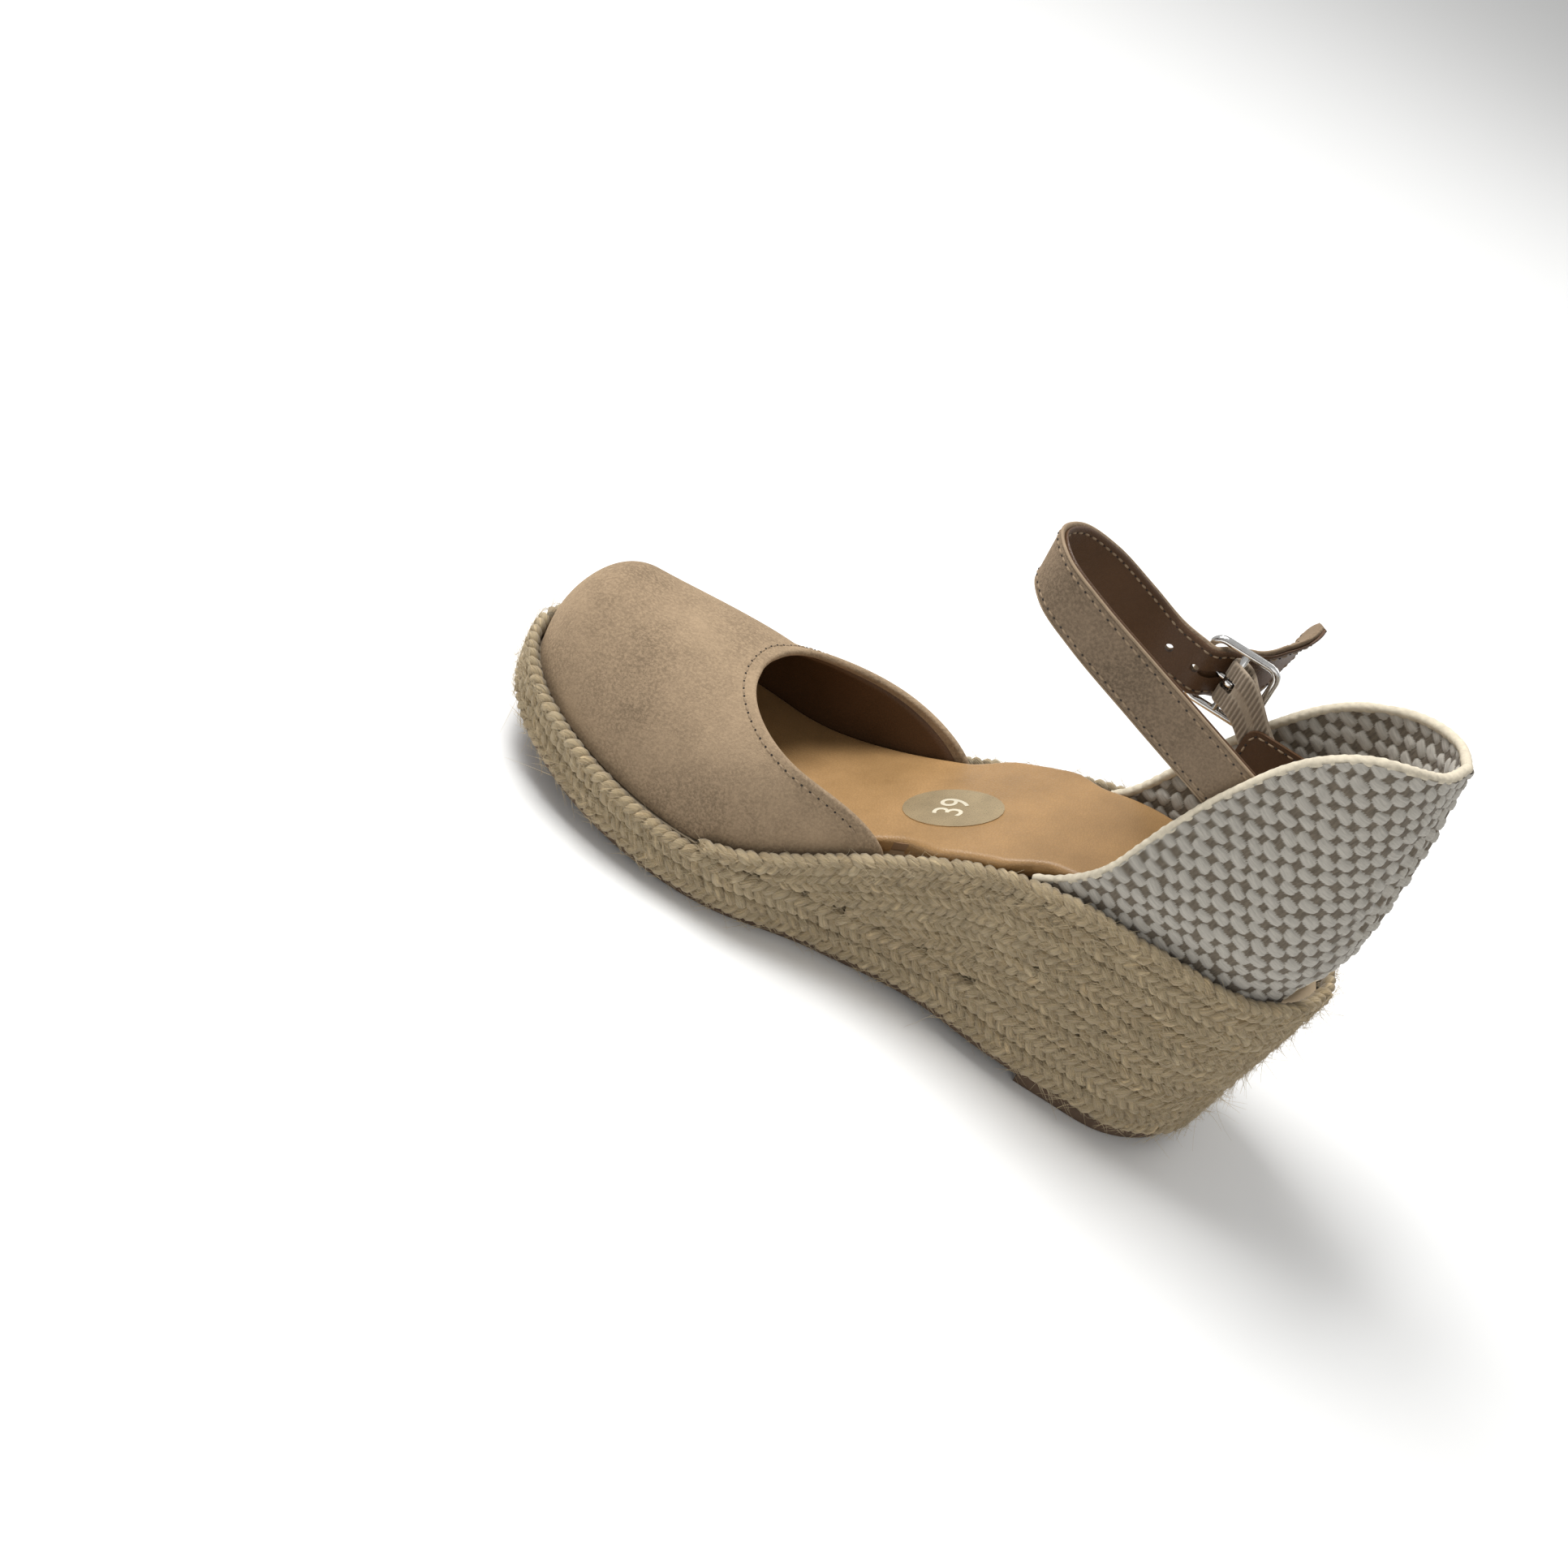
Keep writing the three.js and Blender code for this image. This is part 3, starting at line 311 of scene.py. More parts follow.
def make_piece(name, points, faces, material, body, stands_for=None, uv=None, values=None):
    """A smooth-shaded object from points in millimetres, riding on a body of the frame."""
    points, faces = np.asarray(points, float).reshape(-1, 3), np.asarray(faces, np.int32)
    mesh = bpy.data.meshes.new(name)
    count, sides = faces.shape
    mesh.vertices.add(len(points))
    mesh.vertices.foreach_set("co", (points * MM).ravel())
    mesh.loops.add(count * sides)
    mesh.loops.foreach_set("vertex_index", faces.ravel())
    mesh.polygons.add(count)
    mesh.polygons.foreach_set("loop_start", np.arange(0, count * sides, sides))
    mesh.polygons.foreach_set("use_smooth", np.ones(count, bool))
    for value_name, data in (values or {}).items():
        layer = mesh.attributes.new(value_name, "FLOAT", "POINT")
        layer.data.foreach_set("value", np.asarray(data, np.float32).ravel())
    if uv is not None:
        layer = mesh.uv_layers.new(name="thread")
        layer.data.foreach_set("uv", np.asarray(uv, np.float32).reshape(-1, 2)[faces.ravel()].ravel())
    mesh.update()
    mesh.validate()
    piece = bpy.data.objects.new(name, mesh)
    bpy.context.scene.collection.objects.link(piece)
    mesh.materials.append(material)
    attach(piece, body)
    if stands_for:
        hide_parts(stands_for)
    return piece


def tube_points(line, side, up, wide, high, lobes=0, lobe_depth=0.0, twist=0.0, count=12):
    """Rings of points round a line; side and up are its cross directions."""
    a = np.linspace(0, 2 * math.pi, count, endpoint=False)[None, :]
    n = len(line)
    turn = (np.arange(n) * twist)[:, None]
    r = 1 + lobe_depth * np.cos(lobes * (a + turn))
    wide, high = (np.broadcast_to(np.asarray(v, float), (n,))[:, None] for v in (wide, high))
    sideways = side[:, None] * (wide * r * np.cos(a))[..., None]
    return line[:, None] + sideways + up[:, None] * (high * r * np.sin(a))[..., None]


def tube(line, side, up, wide, high, closed=False, caps=True, **lobes):
    """Points and quads of a tube along a line."""
    rings = tube_points(line, side, up, wide, high, **lobes)
    if caps and not closed:
        first, last = rings[:1].mean(1, keepdims=True), rings[-1:].mean(1, keepdims=True)
        rings = np.concatenate([first + 0 * rings[:1], rings, last + 0 * rings[-1:]])
    return rings, grid_faces(rings.shape[0], rings.shape[1], closed, True)


def rod(line, side, up, wide, high, count):
    """A straight rod between two points."""
    return tube(line, np.stack([side] * 2), np.stack([up] * 2), wide, high, count=count)


def stitch_row(name, points, along, out, body, material, length, radius=0.3):
    """Short raised stitches laid at the points."""
    side = np.cross(out, along)
    a = np.linspace(0, 2 * math.pi, 8, endpoint=False)
    s = np.array([-1, -0.8, -0.3, 0.3, 0.8, 1])
    fat = np.array([0.05, 0.75, 1, 1, 0.75, 0.05])
    ring = (
        s[:, None, None] * along[:, None, None] * length / 2
        + (fat[:, None] * np.cos(a))[..., None] * side[:, None, None] * radius
        + (fat[:, None] * np.sin(a) * 0.8)[..., None] * out[:, None, None] * radius
        - (np.abs(s) ** 3 * 0.28)[:, None, None] * out[:, None, None]
    )
    verts = points[:, None, None] + ring
    one = grid_faces(len(s), len(a), False, True)
    faces = (one[None] + (np.arange(len(points)) * len(s) * len(a))[:, None, None]).reshape(-1, 4)
    make_piece(name, verts, faces, material, body)


def along_line(points, pitch):
    """Evenly spaced places on a line of points, with the direction at each."""
    path = Path(points, samples=max(600, 3 * len(points)))
    share = np.arange(pitch / 2, path.length - pitch / 2, pitch) / path.length
    return path.at(share), path.way(share)


def drift(seed, count, steps):
    """Smooth random values about zero, the same each run."""
    rng = np.random.default_rng(seed)
    knots = rng.normal(0, 1, max(4, steps))
    return np.interp(np.linspace(0, len(knots) - 1, count), np.arange(len(knots)), knots)


# ------------------------------------------------------------ shader tools
class Shade:
    """Adds nodes to a shader tree and links them."""

    def __init__(self, tree):
        self.tree = tree

    def node(self, kind, inputs=(), **settings):
        made = self.tree.nodes.new(kind)
        for key, value in settings.items():
            setattr(made, key, value)
        return self.feed(made, dict(inputs))

    def feed(self, made, inputs):
        """Links or sets the inputs of a node."""
        for key, value in inputs.items():
            if isinstance(value, bpy.types.NodeSocket):
                self.tree.links.new(value, made.inputs[key])
            else:
                made.inputs[key].default_value = value
        return made

    def maths(self, operation, a, b=0.0, c=0.0):
        return self.node("ShaderNodeMath", {0: a, 1: b, 2: c}, operation=operation).outputs[0]

    def blend(self, amount, a, b):
        return self.feed(self.node("ShaderNodeMix", data_type="RGBA"), {0: amount, 6: a, 7: b}).outputs[2]

    def band(self, value, low, high, to_low=0.0, to_high=1.0):
        return self.node(
            "ShaderNodeMapRange", {0: value, 1: low, 2: high, 3: to_low, 4: to_high}
        ).outputs[0]

    def noise(self, vector, scale, detail=4.0, rough=0.55):
        return self.node(
            "ShaderNodeTexNoise", {"Vector": vector, "Scale": scale, "Detail": detail, "Roughness": rough}
        ).outputs[0]


def new_group(name, inputs, outputs):
    """An empty shader group; an input with no value of its own is a vector."""
    tree = bpy.data.node_groups.new(name, "ShaderNodeTree")
    for label, value in inputs.items():
        kind = "NodeSocketVector" if value is None else "NodeSocketFloat"
        socket = tree.interface.new_socket(label, in_out="INPUT", socket_type=kind)
        if value is not None:
            socket.default_value = value
    for label in outputs:
        tree.interface.new_socket(label, in_out="OUTPUT", socket_type="NodeSocketFloat")
    shade = Shade(tree)
    start, end = shade.node("NodeGroupInput"), shade.node("NodeGroupOutput")
    return shade, start.outputs, end.inputs


def nap_group():
    """Fine nap or grain: a soft mottle with a fine tooth over it."""
    shade, given, out = new_group(
        "nap",
        {"Place": None, "Coarse": 60.0, "Fine": 1500.0},
        ["Mottle", "Tooth"],
    )
    link = shade.tree.links.new
    link(shade.noise(given["Place"], given["Coarse"], 5.0, 0.6), out["Mottle"])
    link(shade.noise(given["Place"], given["Fine"], 3.0, 0.7), out["Tooth"])
    return shade.tree


def fibre_group():
    """Fine fibres drawn out along a thread."""
    shade, given, out = new_group(
        "fibres",
        {"Thread": None, "Along": 120.0, "Across": 2600.0},
        ["Fibre", "Patch"],
    )
    link = shade.tree.links.new
    scale = shade.node("ShaderNodeCombineXYZ", {0: given["Along"], 1: given["Across"], 2: 1.0}).outputs[0]
    ends = {0: given["Thread"], 1: scale}
    stretched = shade.node("ShaderNodeVectorMath", ends, operation="MULTIPLY").outputs[0]
    link(shade.noise(stretched, 1.0, 3.0, 0.65), out["Fibre"])
    link(shade.noise(given["Thread"], given["Along"], 2.0, 0.5), out["Patch"])
    return shade.tree


def pore_group():
    """Leather grain: small pebbles with creases between them."""
    shade, given, out = new_group("pores", {"Place": None, "Scale": 900.0}, ["Pebble", "Cloud"])
    ends = {"Vector": given["Place"], "Scale": given["Scale"]}
    cells = shade.node("ShaderNodeTexVoronoi", ends, feature="DISTANCE_TO_EDGE").outputs[0]
    shade.tree.links.new(shade.band(cells, 0.0, 0.22), out["Pebble"])
    shade.tree.links.new(shade.noise(given["Place"], 38.0, 5.0, 0.6), out["Cloud"])
    return shade.tree


GROUPS = {}


class Finish(Shade):
    """One material: a Principled shader with procedural colour, roughness and relief."""

    def __init__(self, name, roughness, **constants):
        self.material = bpy.data.materials.new(name)
        self.material.use_nodes = True
        super().__init__(self.material.node_tree)
        self.shader = self.tree.nodes["Principled BSDF"]
        self.shader.inputs["Roughness"].default_value = roughness
        for key, value in constants.items():
            self.shader.inputs[key.replace("_", " ")].default_value = value

    def place(self):
        return self.node("ShaderNodeTexCoord").outputs["Object"]

    def thread(self):
        return self.node("ShaderNodeUVMap", uv_map="thread").outputs[0]

    def value(self, name):
        return self.node("ShaderNodeAttribute", attribute_name=name).outputs["Fac"]

    def group(self, name, **inputs):
        return self.feed(self.node("ShaderNodeGroup", node_tree=GROUPS[name]), inputs).outputs

    def done(self, colour, height=None, strength=0.3, distance=0.0003, roughness=None):
        self.tree.links.new(colour, self.shader.inputs["Base Color"])
        if roughness is not None:
            self.tree.links.new(roughness, self.shader.inputs["Roughness"])
        if height is not None:
            bump = self.node("ShaderNodeBump", {"Height": height, "Strength": strength, "Distance": distance})
            self.tree.links.new(bump.outputs[0], self.shader.inputs["Normal"])
        return self.material


def rgba(colour, gain=1.0):
    """A colour property made lighter or darker."""
    return tuple(min(1.0, c * gain) for c in colour[:3]) + (1.0,)


def jute_finish(c):
    f = Finish("braided_jute", 0.95, Sheen_Weight=0.25, Sheen_Roughness=0.5, Specular_IOR_Level=0.2)
    fibre = f.group("fibres", Thread=f.thread(), Along=170.0, Across=1500.0)
    tone = f.maths("MULTIPLY_ADD", fibre["Fibre"], 0.75, f.maths("MULTIPLY", fibre["Patch"], 0.25))
    colour = f.blend(f.band(tone, 0.3, 0.7), rgba(c.jute, 0.5), rgba(c.jute, 1.4))
    colour = f.blend(f.band(f.value("strand"), 0, 1), colour, rgba(c.jute_light))
    # painted shade: the jute is darkened where its strands lie deep in the braid
    colour = f.blend(f.value("recess_shade"), colour, rgba(c.jute, 0.28))
    return f.done(colour, fibre["Fibre"], 0.9, 0.0012)


def weave_finish(c):
    f = Finish("woven_cloth", 0.92, Sheen_Weight=0.2, Specular_IOR_Level=0.25)
    light = f.group("fibres", Thread=f.thread(), Along=300.0, Across=1900.0)
    dark = f.group("fibres", Thread=f.thread(), Along=1500.0, Across=350.0)
    yarn = f.value("yarn")
    pale = f.blend(f.band(light["Fibre"], 0.32, 0.68), rgba(c.yarn_light, 0.8), rgba(c.yarn_light, 1.1))
    grey = f.blend(f.band(dark["Fibre"], 0.32, 0.68), rgba(c.yarn_dark, 0.7), rgba(c.yarn_dark, 1.25))
    colour = f.blend(yarn, grey, pale)
    # painted shade: the weave is darkened in the gaps between the yarns
    colour = f.blend(f.value("recess_shade"), colour, rgba(c.yarn_dark, 0.25))
    ends = {0: yarn, 2: dark["Fibre"], 3: light["Fibre"]}
    return f.done(colour, f.node("ShaderNodeMix", ends).outputs[0], 0.6, 0.0004)


def suede_finish(name, tint):
    f = Finish(name, 0.96, Sheen_Weight=0.55, Sheen_Roughness=0.45, Specular_IOR_Level=0.1)
    f.shader.inputs["Sheen Tint"].default_value = rgba(tint, 1.5)
    nap = f.group("nap", Place=f.place(), Coarse=34.0, Fine=1150.0)
    colour = f.blend(f.band(nap["Mottle"], 0.35, 0.66), rgba(tint, 0.64), rgba(tint, 1.12))
    speck = f.maths("MULTIPLY", f.band(nap["Tooth"], 0.4, 0.66), 0.7)
    colour = f.blend(speck, colour, rgba(tint, 1.38))
    return f.done(colour, nap["Tooth"], 0.6, 0.0005)


def leather_finish(name, tint, roughness, coat=0.0):
    f = Finish(name, roughness, Specular_IOR_Level=0.4, Coat_Roughness=0.35, Coat_Weight=coat)
    pores = f.group("pores", Place=f.place(), Scale=1100.0)
    colour = f.blend(f.band(pores["Cloud"], 0.3, 0.7), rgba(tint, 0.8), rgba(tint, 1.14))
    # painted shade: the creases between the grain's pebbles are darkened
    crease_shade = f.maths("MULTIPLY", f.maths("SUBTRACT", 1.0, pores["Pebble"]), 0.22)
    colour = f.blend(crease_shade, colour, rgba(tint, 0.5))
    rough = f.band(pores["Cloud"], 0.3, 0.7, roughness - 0.08, roughness + 0.1)
    return f.done(colour, pores["Pebble"], 0.22, 0.00025, rough)


def plain_finish(name, tint, roughness, metallic=0.0, coarse=60.0, fine=1200.0, relief=0.15):
    f = Finish(name, roughness, Metallic=metallic)
    nap = f.group("nap", Place=f.place(), Coarse=coarse, Fine=fine)
    colour = f.blend(f.band(nap["Mottle"], 0.3, 0.7), rgba(tint, 0.82), rgba(tint, 1.12))
    rough = f.band(nap["Tooth"], 0.3, 0.7, max(0.05, roughness - 0.06), min(1.0, roughness + 0.08))
    return f.done(colour, nap["Tooth"], relief, 0.0002, rough)


def elastic_finish(c):
    f = Finish("ribbed_elastic", 0.85, Sheen_Weight=0.15)
    fibre = f.group("fibres", Thread=f.thread(), Along=2400.0, Across=500.0)
    colour = f.blend(f.band(fibre["Fibre"], 0.3, 0.7), rgba(c.elastic, 0.78), rgba(c.elastic, 1.15))
    # painted shade: the elastic is darkened in the grooves between its ribs
    colour = f.blend(f.value("recess_shade"), colour, rgba(c.elastic, 0.35))
    return f.done(colour, fibre["Fibre"], 0.35, 0.0003)


MATERIALS = {}


def make_finishes(c):
    """Builds the shared groups and every material once."""
    GROUPS.update(nap=nap_group(), fibres=fibre_group(), pores=pore_group())
    MATERIALS.update(
        jute=jute_finish(c),
        weave=weave_finish(c),
        suede=suede_finish("tan_suede", c.suede),
        # partly painted shade: the strap's suede is a darker copy of the vamp's
        strap=suede_finish("strap_suede", c.strap),
        insole=leather_finish("insole_leather", c.insole, 0.42, 0.12),
        # partly painted shade: the lining colour is darkened for the vamp's shaded inside
        lining=leather_finish("brown_leather", c.lining, 0.5),
        silver=plain_finish("polished_silver", (0.82, 0.81, 0.79), 0.16, 1.0, 200.0, 2500.0, 0.04),
        rubber=plain_finish("brown_rubber", c.rubber, 0.75, 0.0, 120.0, 1800.0, 0.35),
        elastic=elastic_finish(c),
        thread=plain_finish("stitch_thread", c.thread, 0.8, 0.0, 300.0, 4000.0, 0.4),
        # painted shade: near-black colour for the shade inside the needle holes
        hole=plain_finish("needle_hole_shade", (0.03, 0.022, 0.016), 0.9),
        roll=plain_finish("rolled_edge", c.roll, 0.92, 0.0, 500.0, 3500.0, 0.5),
        label=plain_finish("gilt_label", c.label, 0.3, 0.65, 90.0, 3000.0, 0.05),
        numeral=plain_finish("pale_print", (0.75, 0.68, 0.52), 0.4, 0.3),
        core=plain_finish("core_block", (0.42, 0.33, 0.22), 0.95),
        steel=plain_finish("strip_steel", (0.5, 0.5, 0.52), 0.35, 1.0),
        board=plain_finish("fibre_board", (0.34, 0.24, 0.15), 0.9),
        foam=plain_finish("soft_foam", (0.26, 0.155, 0.08), 0.95),
        puff=plain_finish("toe_stiffener", (0.6, 0.54, 0.45), 0.9),
    )


# ------------------------------------------------------------ pieces
def braid_rows():
    """Name, lower edge, upper edge and ends of every jute braid."""
    low_top = lambda x: base_height(x) + 2 * LOW_BRAID
    top = lambda x: rim_height(x) + BRAID_ABOVE_RIM
    step = (top(HEEL_BACK) - low_top(HEEL_BACK)) / HIGH_BRAIDS
    level = lambda k: lambda x: base_height(x) + k * LOW_BRAID
    rows = [(k + 1, level(k), level(k + 1), -1, 1) for k in (0, 1)]
    for k in range(HIGH_BRAIDS):
        high = lambda x, k=k: top(x) - k * step
        low = lambda x, high=high: np.maximum(high(x) - step, low_top(x))
        end = BRAID_FRONT
        while high(end) - low_top(end) < BRAID_END_SHARE * step:
            end -= 0.5
        rows.append((HIGH_BRAIDS + 2 - k, low, high, rim_at(end, -1), rim_at(end, 1)))
    return rows


def braid_course(low, high, start, stop, step):
    """The braid's middle line, evenly stepped, with its outward ways and half heights."""
    u = np.linspace(start, stop, 3000)
    x = rim(u)[:, 0]
    line = wall(u, (low(x) + high(x)) / 2, GAP + BRAID_THICK / 2)
    reach = np.concatenate([[0], np.cumsum(np.linalg.norm(np.diff(line, axis=0), axis=1))])
    s = np.linspace(0, reach[-1], int(reach[-1] / step))
    pick = lambda data: np.stack([np.interp(s, reach, data[:, k]) for k in range(3)], -1)
    return s, pick(line), unit(pick(rim_normal(u))), np.interp(s, reach, (high(x) - low(x)) / 2)


PHASE_DRIFT = 0.18  # uneven plaiting, in radians
STRAND_OVERLAP = 0.86  # of a strand's radius kept inside the braid's half height
CROSSING_DEPTH, SET_BACK = 0.85, 0.1  # how far crossing strands rise, and the braid's middle sits back
STRAND_LOBES = dict(lobes=4, lobe_depth=0.07, twist=0.16, count=14)


def plait(number, course, pitch, thick, slant):
    """Points, quads and thread values of a three-strand plait along a course, with painted shade where
    strands lie deep.
    """
    s, line, out, half = course
    closed = number <= 2
    turns = s[-1] / pitch
    if closed:
        turns = round(turns)
    up = unit(np.cross(np.gradient(line, axis=0), out))
    up *= np.sign(up[:, 2:3])
    parts = []
    for k in range(3):
        seed = number * 10 + k
        phase = slant * 2 * math.pi * (turns * s / s[-1] + k / 3)
        if not closed:
            phase = phase + PHASE_DRIFT * drift(seed, len(s), int(turns))
        centre = (
            line
            + up * ((half - thick * STRAND_OVERLAP) * np.sin(phase))[:, None]
            + out * (CROSSING_DEPTH * np.sin(2 * phase) - SET_BACK)[:, None]
        )
        way = unit(np.gradient(centre, axis=0))
        side = unit(np.cross(way, out))
        over = np.cross(side, way)
        wide = thick * (1 + 0.07 * drift(seed + 500, len(s), int(turns * 2)))
        rings = tube_points(centre, side, over, wide, wide * 0.94, **STRAND_LOBES)
        reach = np.concatenate([[0], np.cumsum(np.linalg.norm(np.diff(centre, axis=0), axis=1))])
        around = np.linspace(0, 1, rings.shape[1], endpoint=False)
        folded = 1 - np.abs(1 - 2 * ((around[None] + 0.012 * reach[:, None]) % 1))
        lengthwise = np.broadcast_to(reach[:, None], rings.shape[:2]) + seed * 17
        uv = np.stack([lengthwise, folded * 2 * math.pi * thick], -1)
        outness = ((rings - line[:, None]) * out[:, None]).sum(-1) / (CROSSING_DEPTH + thick)
        # painted shade: the parts of a strand that sit deep in the braid are marked for darkening
        recess_shade = 0.72 * smooth((0.22 - outness) / 1.1)
        pale = 0.16 + 0.14 * drift(seed + 900, len(s), int(turns / 2))
        strand = np.broadcast_to(pale[:, None], rings.shape[:2])
        parts.append((rings, grid_faces(*rings.shape[:2], closed, True), uv * MM, recess_shade, strand))
    return parts


def joined(parts):
    """Several sets of points, quads and values as one."""
    counts = np.cumsum([0] + [p[0].reshape(-1, 3).shape[0] for p in parts])
    points = np.concatenate([p[0].reshape(-1, 3) for p in parts])
    faces = np.concatenate([p[1] + n for p, n in zip(parts, counts)])
    extra = [
        np.concatenate([p[k].reshape(-1, p[k].shape[-1]) if k == 2 else p[k].ravel() for p in parts])
        for k in range(2, len(parts[0]))
    ]
    return points, faces, *extra


def build_jute(sizes):
    """Nine plaits of jute round the wedge."""
    surface = []
    for number, low, high, start, stop in braid_rows():
        course = braid_course(low, high, start, stop, sizes.plait_step * 1000)
        slant = 1 if number % 2 else -1
        parts = plait(number, course, sizes.plait_pitch * 1000, sizes.strand_radius * 1000, slant)
        points, faces, uv, recess_shade, strand = joined(parts)
        name = f"jute_braid_{number}"
        make_piece(
            f"plait_{number}", points, faces, MATERIALS["jute"], "shoe", name, uv,
            {"recess_shade": recess_shade, "strand": np.clip(strand, 0, 1)},
        )
        s, line, out, half = course
        way = unit(np.gradient(line, axis=0))
        surface.append((line, out, way, half))
    return surface


FLOOR_CLEAR = 0.4  # fibres stay this far above the floor
FIBRE_ROOT = 1.75  # from a braid's middle line out to where fibres leave it
STRAY_SHARE = 0.18  # of the fibres stand well off the braid
FIBRE_RINGS, FIBRE_SIDES = 5, 3


def build_fibres(surface, count):
    """Loose fibres that stand off the plaits."""
    rng = np.random.default_rng(41)
    line, out, way, half = (np.concatenate([row[k] for row in surface]) for k in range(4))
    pick = rng.integers(0, len(line), count)
    up = np.cross(way[pick], out[pick])
    up *= np.sign(up[:, 2:3])
    start = line[pick] + up * (half[pick] * rng.uniform(-1, 1, count))[:, None] + out[pick] * FIBRE_ROOT
    lean = rng.normal(0, 1, (count, 3))
    stray = rng.random(count) < STRAY_SHARE
    lift = np.where(stray, 0.5, 0.13)[:, None]
    forward = way[pick] * rng.choice([-1, 1], count)[:, None]
    slope = 0.6 * rng.choice([-1, 1], count)[:, None] + 0.3 * lean[:, :1]
    first = unit(forward + out[pick] * lift + up * slope)
    bend = out[pick] * (lift - 0.2) + unit(lean) * np.where(stray, 0.6, 0.25)[:, None]
    length = rng.uniform(2.5, 6.5, count) * np.where(stray & (rng.random(count) < 0.2), 2.0, 1.0)
    t = np.linspace(0, 1, FIBRE_RINGS)[None, :, None]
    far = length[:, None, None] * t
    lines = start[:, None] + first[:, None] * far + bend[:, None] * far * t * 0.5
    side = unit(np.cross(first, out[pick]))
    over = unit(np.cross(side, first))
    thin = np.linspace(1, 0.35, FIBRE_RINGS)[None, :] * rng.uniform(0.045, 0.085, count)[:, None]
    a = np.linspace(0, 2 * math.pi, FIBRE_SIDES, endpoint=False)
    rings = (
        lines[:, :, None]
        + (thin[..., None] * np.cos(a))[..., None] * side[:, None, None]
        + (thin[..., None] * np.sin(a))[..., None] * over[:, None, None]
    )
    rings[..., 2] = np.maximum(rings[..., 2], FLOOR_CLEAR)
    one = grid_faces(FIBRE_RINGS, FIBRE_SIDES, False, True)
    faces = (one[None] + (np.arange(count) * FIBRE_RINGS * FIBRE_SIDES)[:, None, None]).reshape(-1, 4)
    own = np.arange(count)[:, None] * 0.01
    uv = np.stack(np.broadcast_arrays(t[..., 0] * 0.004 + own, 0 * t[..., 0]), -1)
    uv = np.repeat(uv[:, :, None], FIBRE_SIDES, 2)
    n = rings.reshape(-1, 3).shape[0]
    make_piece(
        "loose_fibres", rings, faces, MATERIALS["jute"], "shoe", None, uv,
        {"recess_shade": np.zeros(n), "strand": np.full(n, 0.55)},
    )


LUCK_CELLS = (97, 89)  # cells after which the chance unevenness comes again
PALE_PILLOW, DARK_PILLOW = (0.69, 0.57), (0.62, 0.78)  # half sizes along and across, in cells
PILLOW_CORNER, PILLOW_CROWN = 2.8, 0.45  # how square a pillow is, and how flat its top


def weave_relief(reach, z, row_way, column_way, inside):
    """Height of the basket weave, which yarn is on top, and painted shade in the gaps, darker the deeper they
    are.
    """
    rng = np.random.default_rng(7)
    own = rng.uniform(0, 1, LUCK_CELLS)
    shift = rng.uniform(-0.07, 0.07, (*LUCK_CELLS, 2))
    wide_wave = lambda k: np.sin(reach * 0.21 + k) * np.cos(z * 0.17 + 2 * k)
    wobble = lambda k: 0.12 * wide_wave(k) + 0.07 * np.sin(reach * 0.63 + z * 0.4 + k)
    (ax, az), (bx, bz) = row_way, column_way
    det = ax * bz - az * bx
    p = (reach * bz - z * bx) / det + wobble(0.4) + 200
    q = (z * ax - reach * az) / det + wobble(2.1) + 200
    pale, dark, ply = np.zeros_like(p), np.zeros_like(p), np.zeros_like(p)
    for di in (-1, 0, 1):
        for dj in (-1, 0, 1):
            i, j = np.floor(p).astype(int) + di, np.floor(q).astype(int) + dj
            cell = (i % LUCK_CELLS[0], j % LUCK_CELLS[1])
            luck, move = own[cell], shift[cell]
            dp, dq = np.abs(p - i - 0.5 - move[..., 0]), np.abs(q - j - 0.5 - move[..., 1])
            is_pale = (i + j + inside) % 2 == 0
            long = np.where(is_pale, PALE_PILLOW[0] + 0.08 * luck, DARK_PILLOW[0])
            wide = np.where(is_pale, PALE_PILLOW[1] + 0.06 * luck, DARK_PILLOW[1])
            fall = (dp / long) ** PILLOW_CORNER + (dq / wide) ** PILLOW_CORNER
            pillow = np.clip(1 - fall, 0, 1) ** PILLOW_CROWN
            ply += np.where(is_pale, 0.05 * np.cos(2 * math.pi * 3 * dq) * (pillow > 0.3), 0)
            pale = np.maximum(pale, np.where(is_pale, pillow * (1.0 + 0.3 * luck), 0))
            dark = np.maximum(dark, np.where(is_pale, 0, pillow * (0.55 + 0.2 * luck)))
    height = np.maximum(pale, dark)
    yarn = smooth((pale - dark) / 0.1 + 0.5)
    # painted shade: the low gaps between the pillows are marked for darkening
    recess_shade = 0.7 * smooth((0.36 - height) / 0.36)
    return height + ply, yarn, recess_shade, p, q


INNER_SINK = 1.35  # keeps the inner yarns clear of the swinging strap


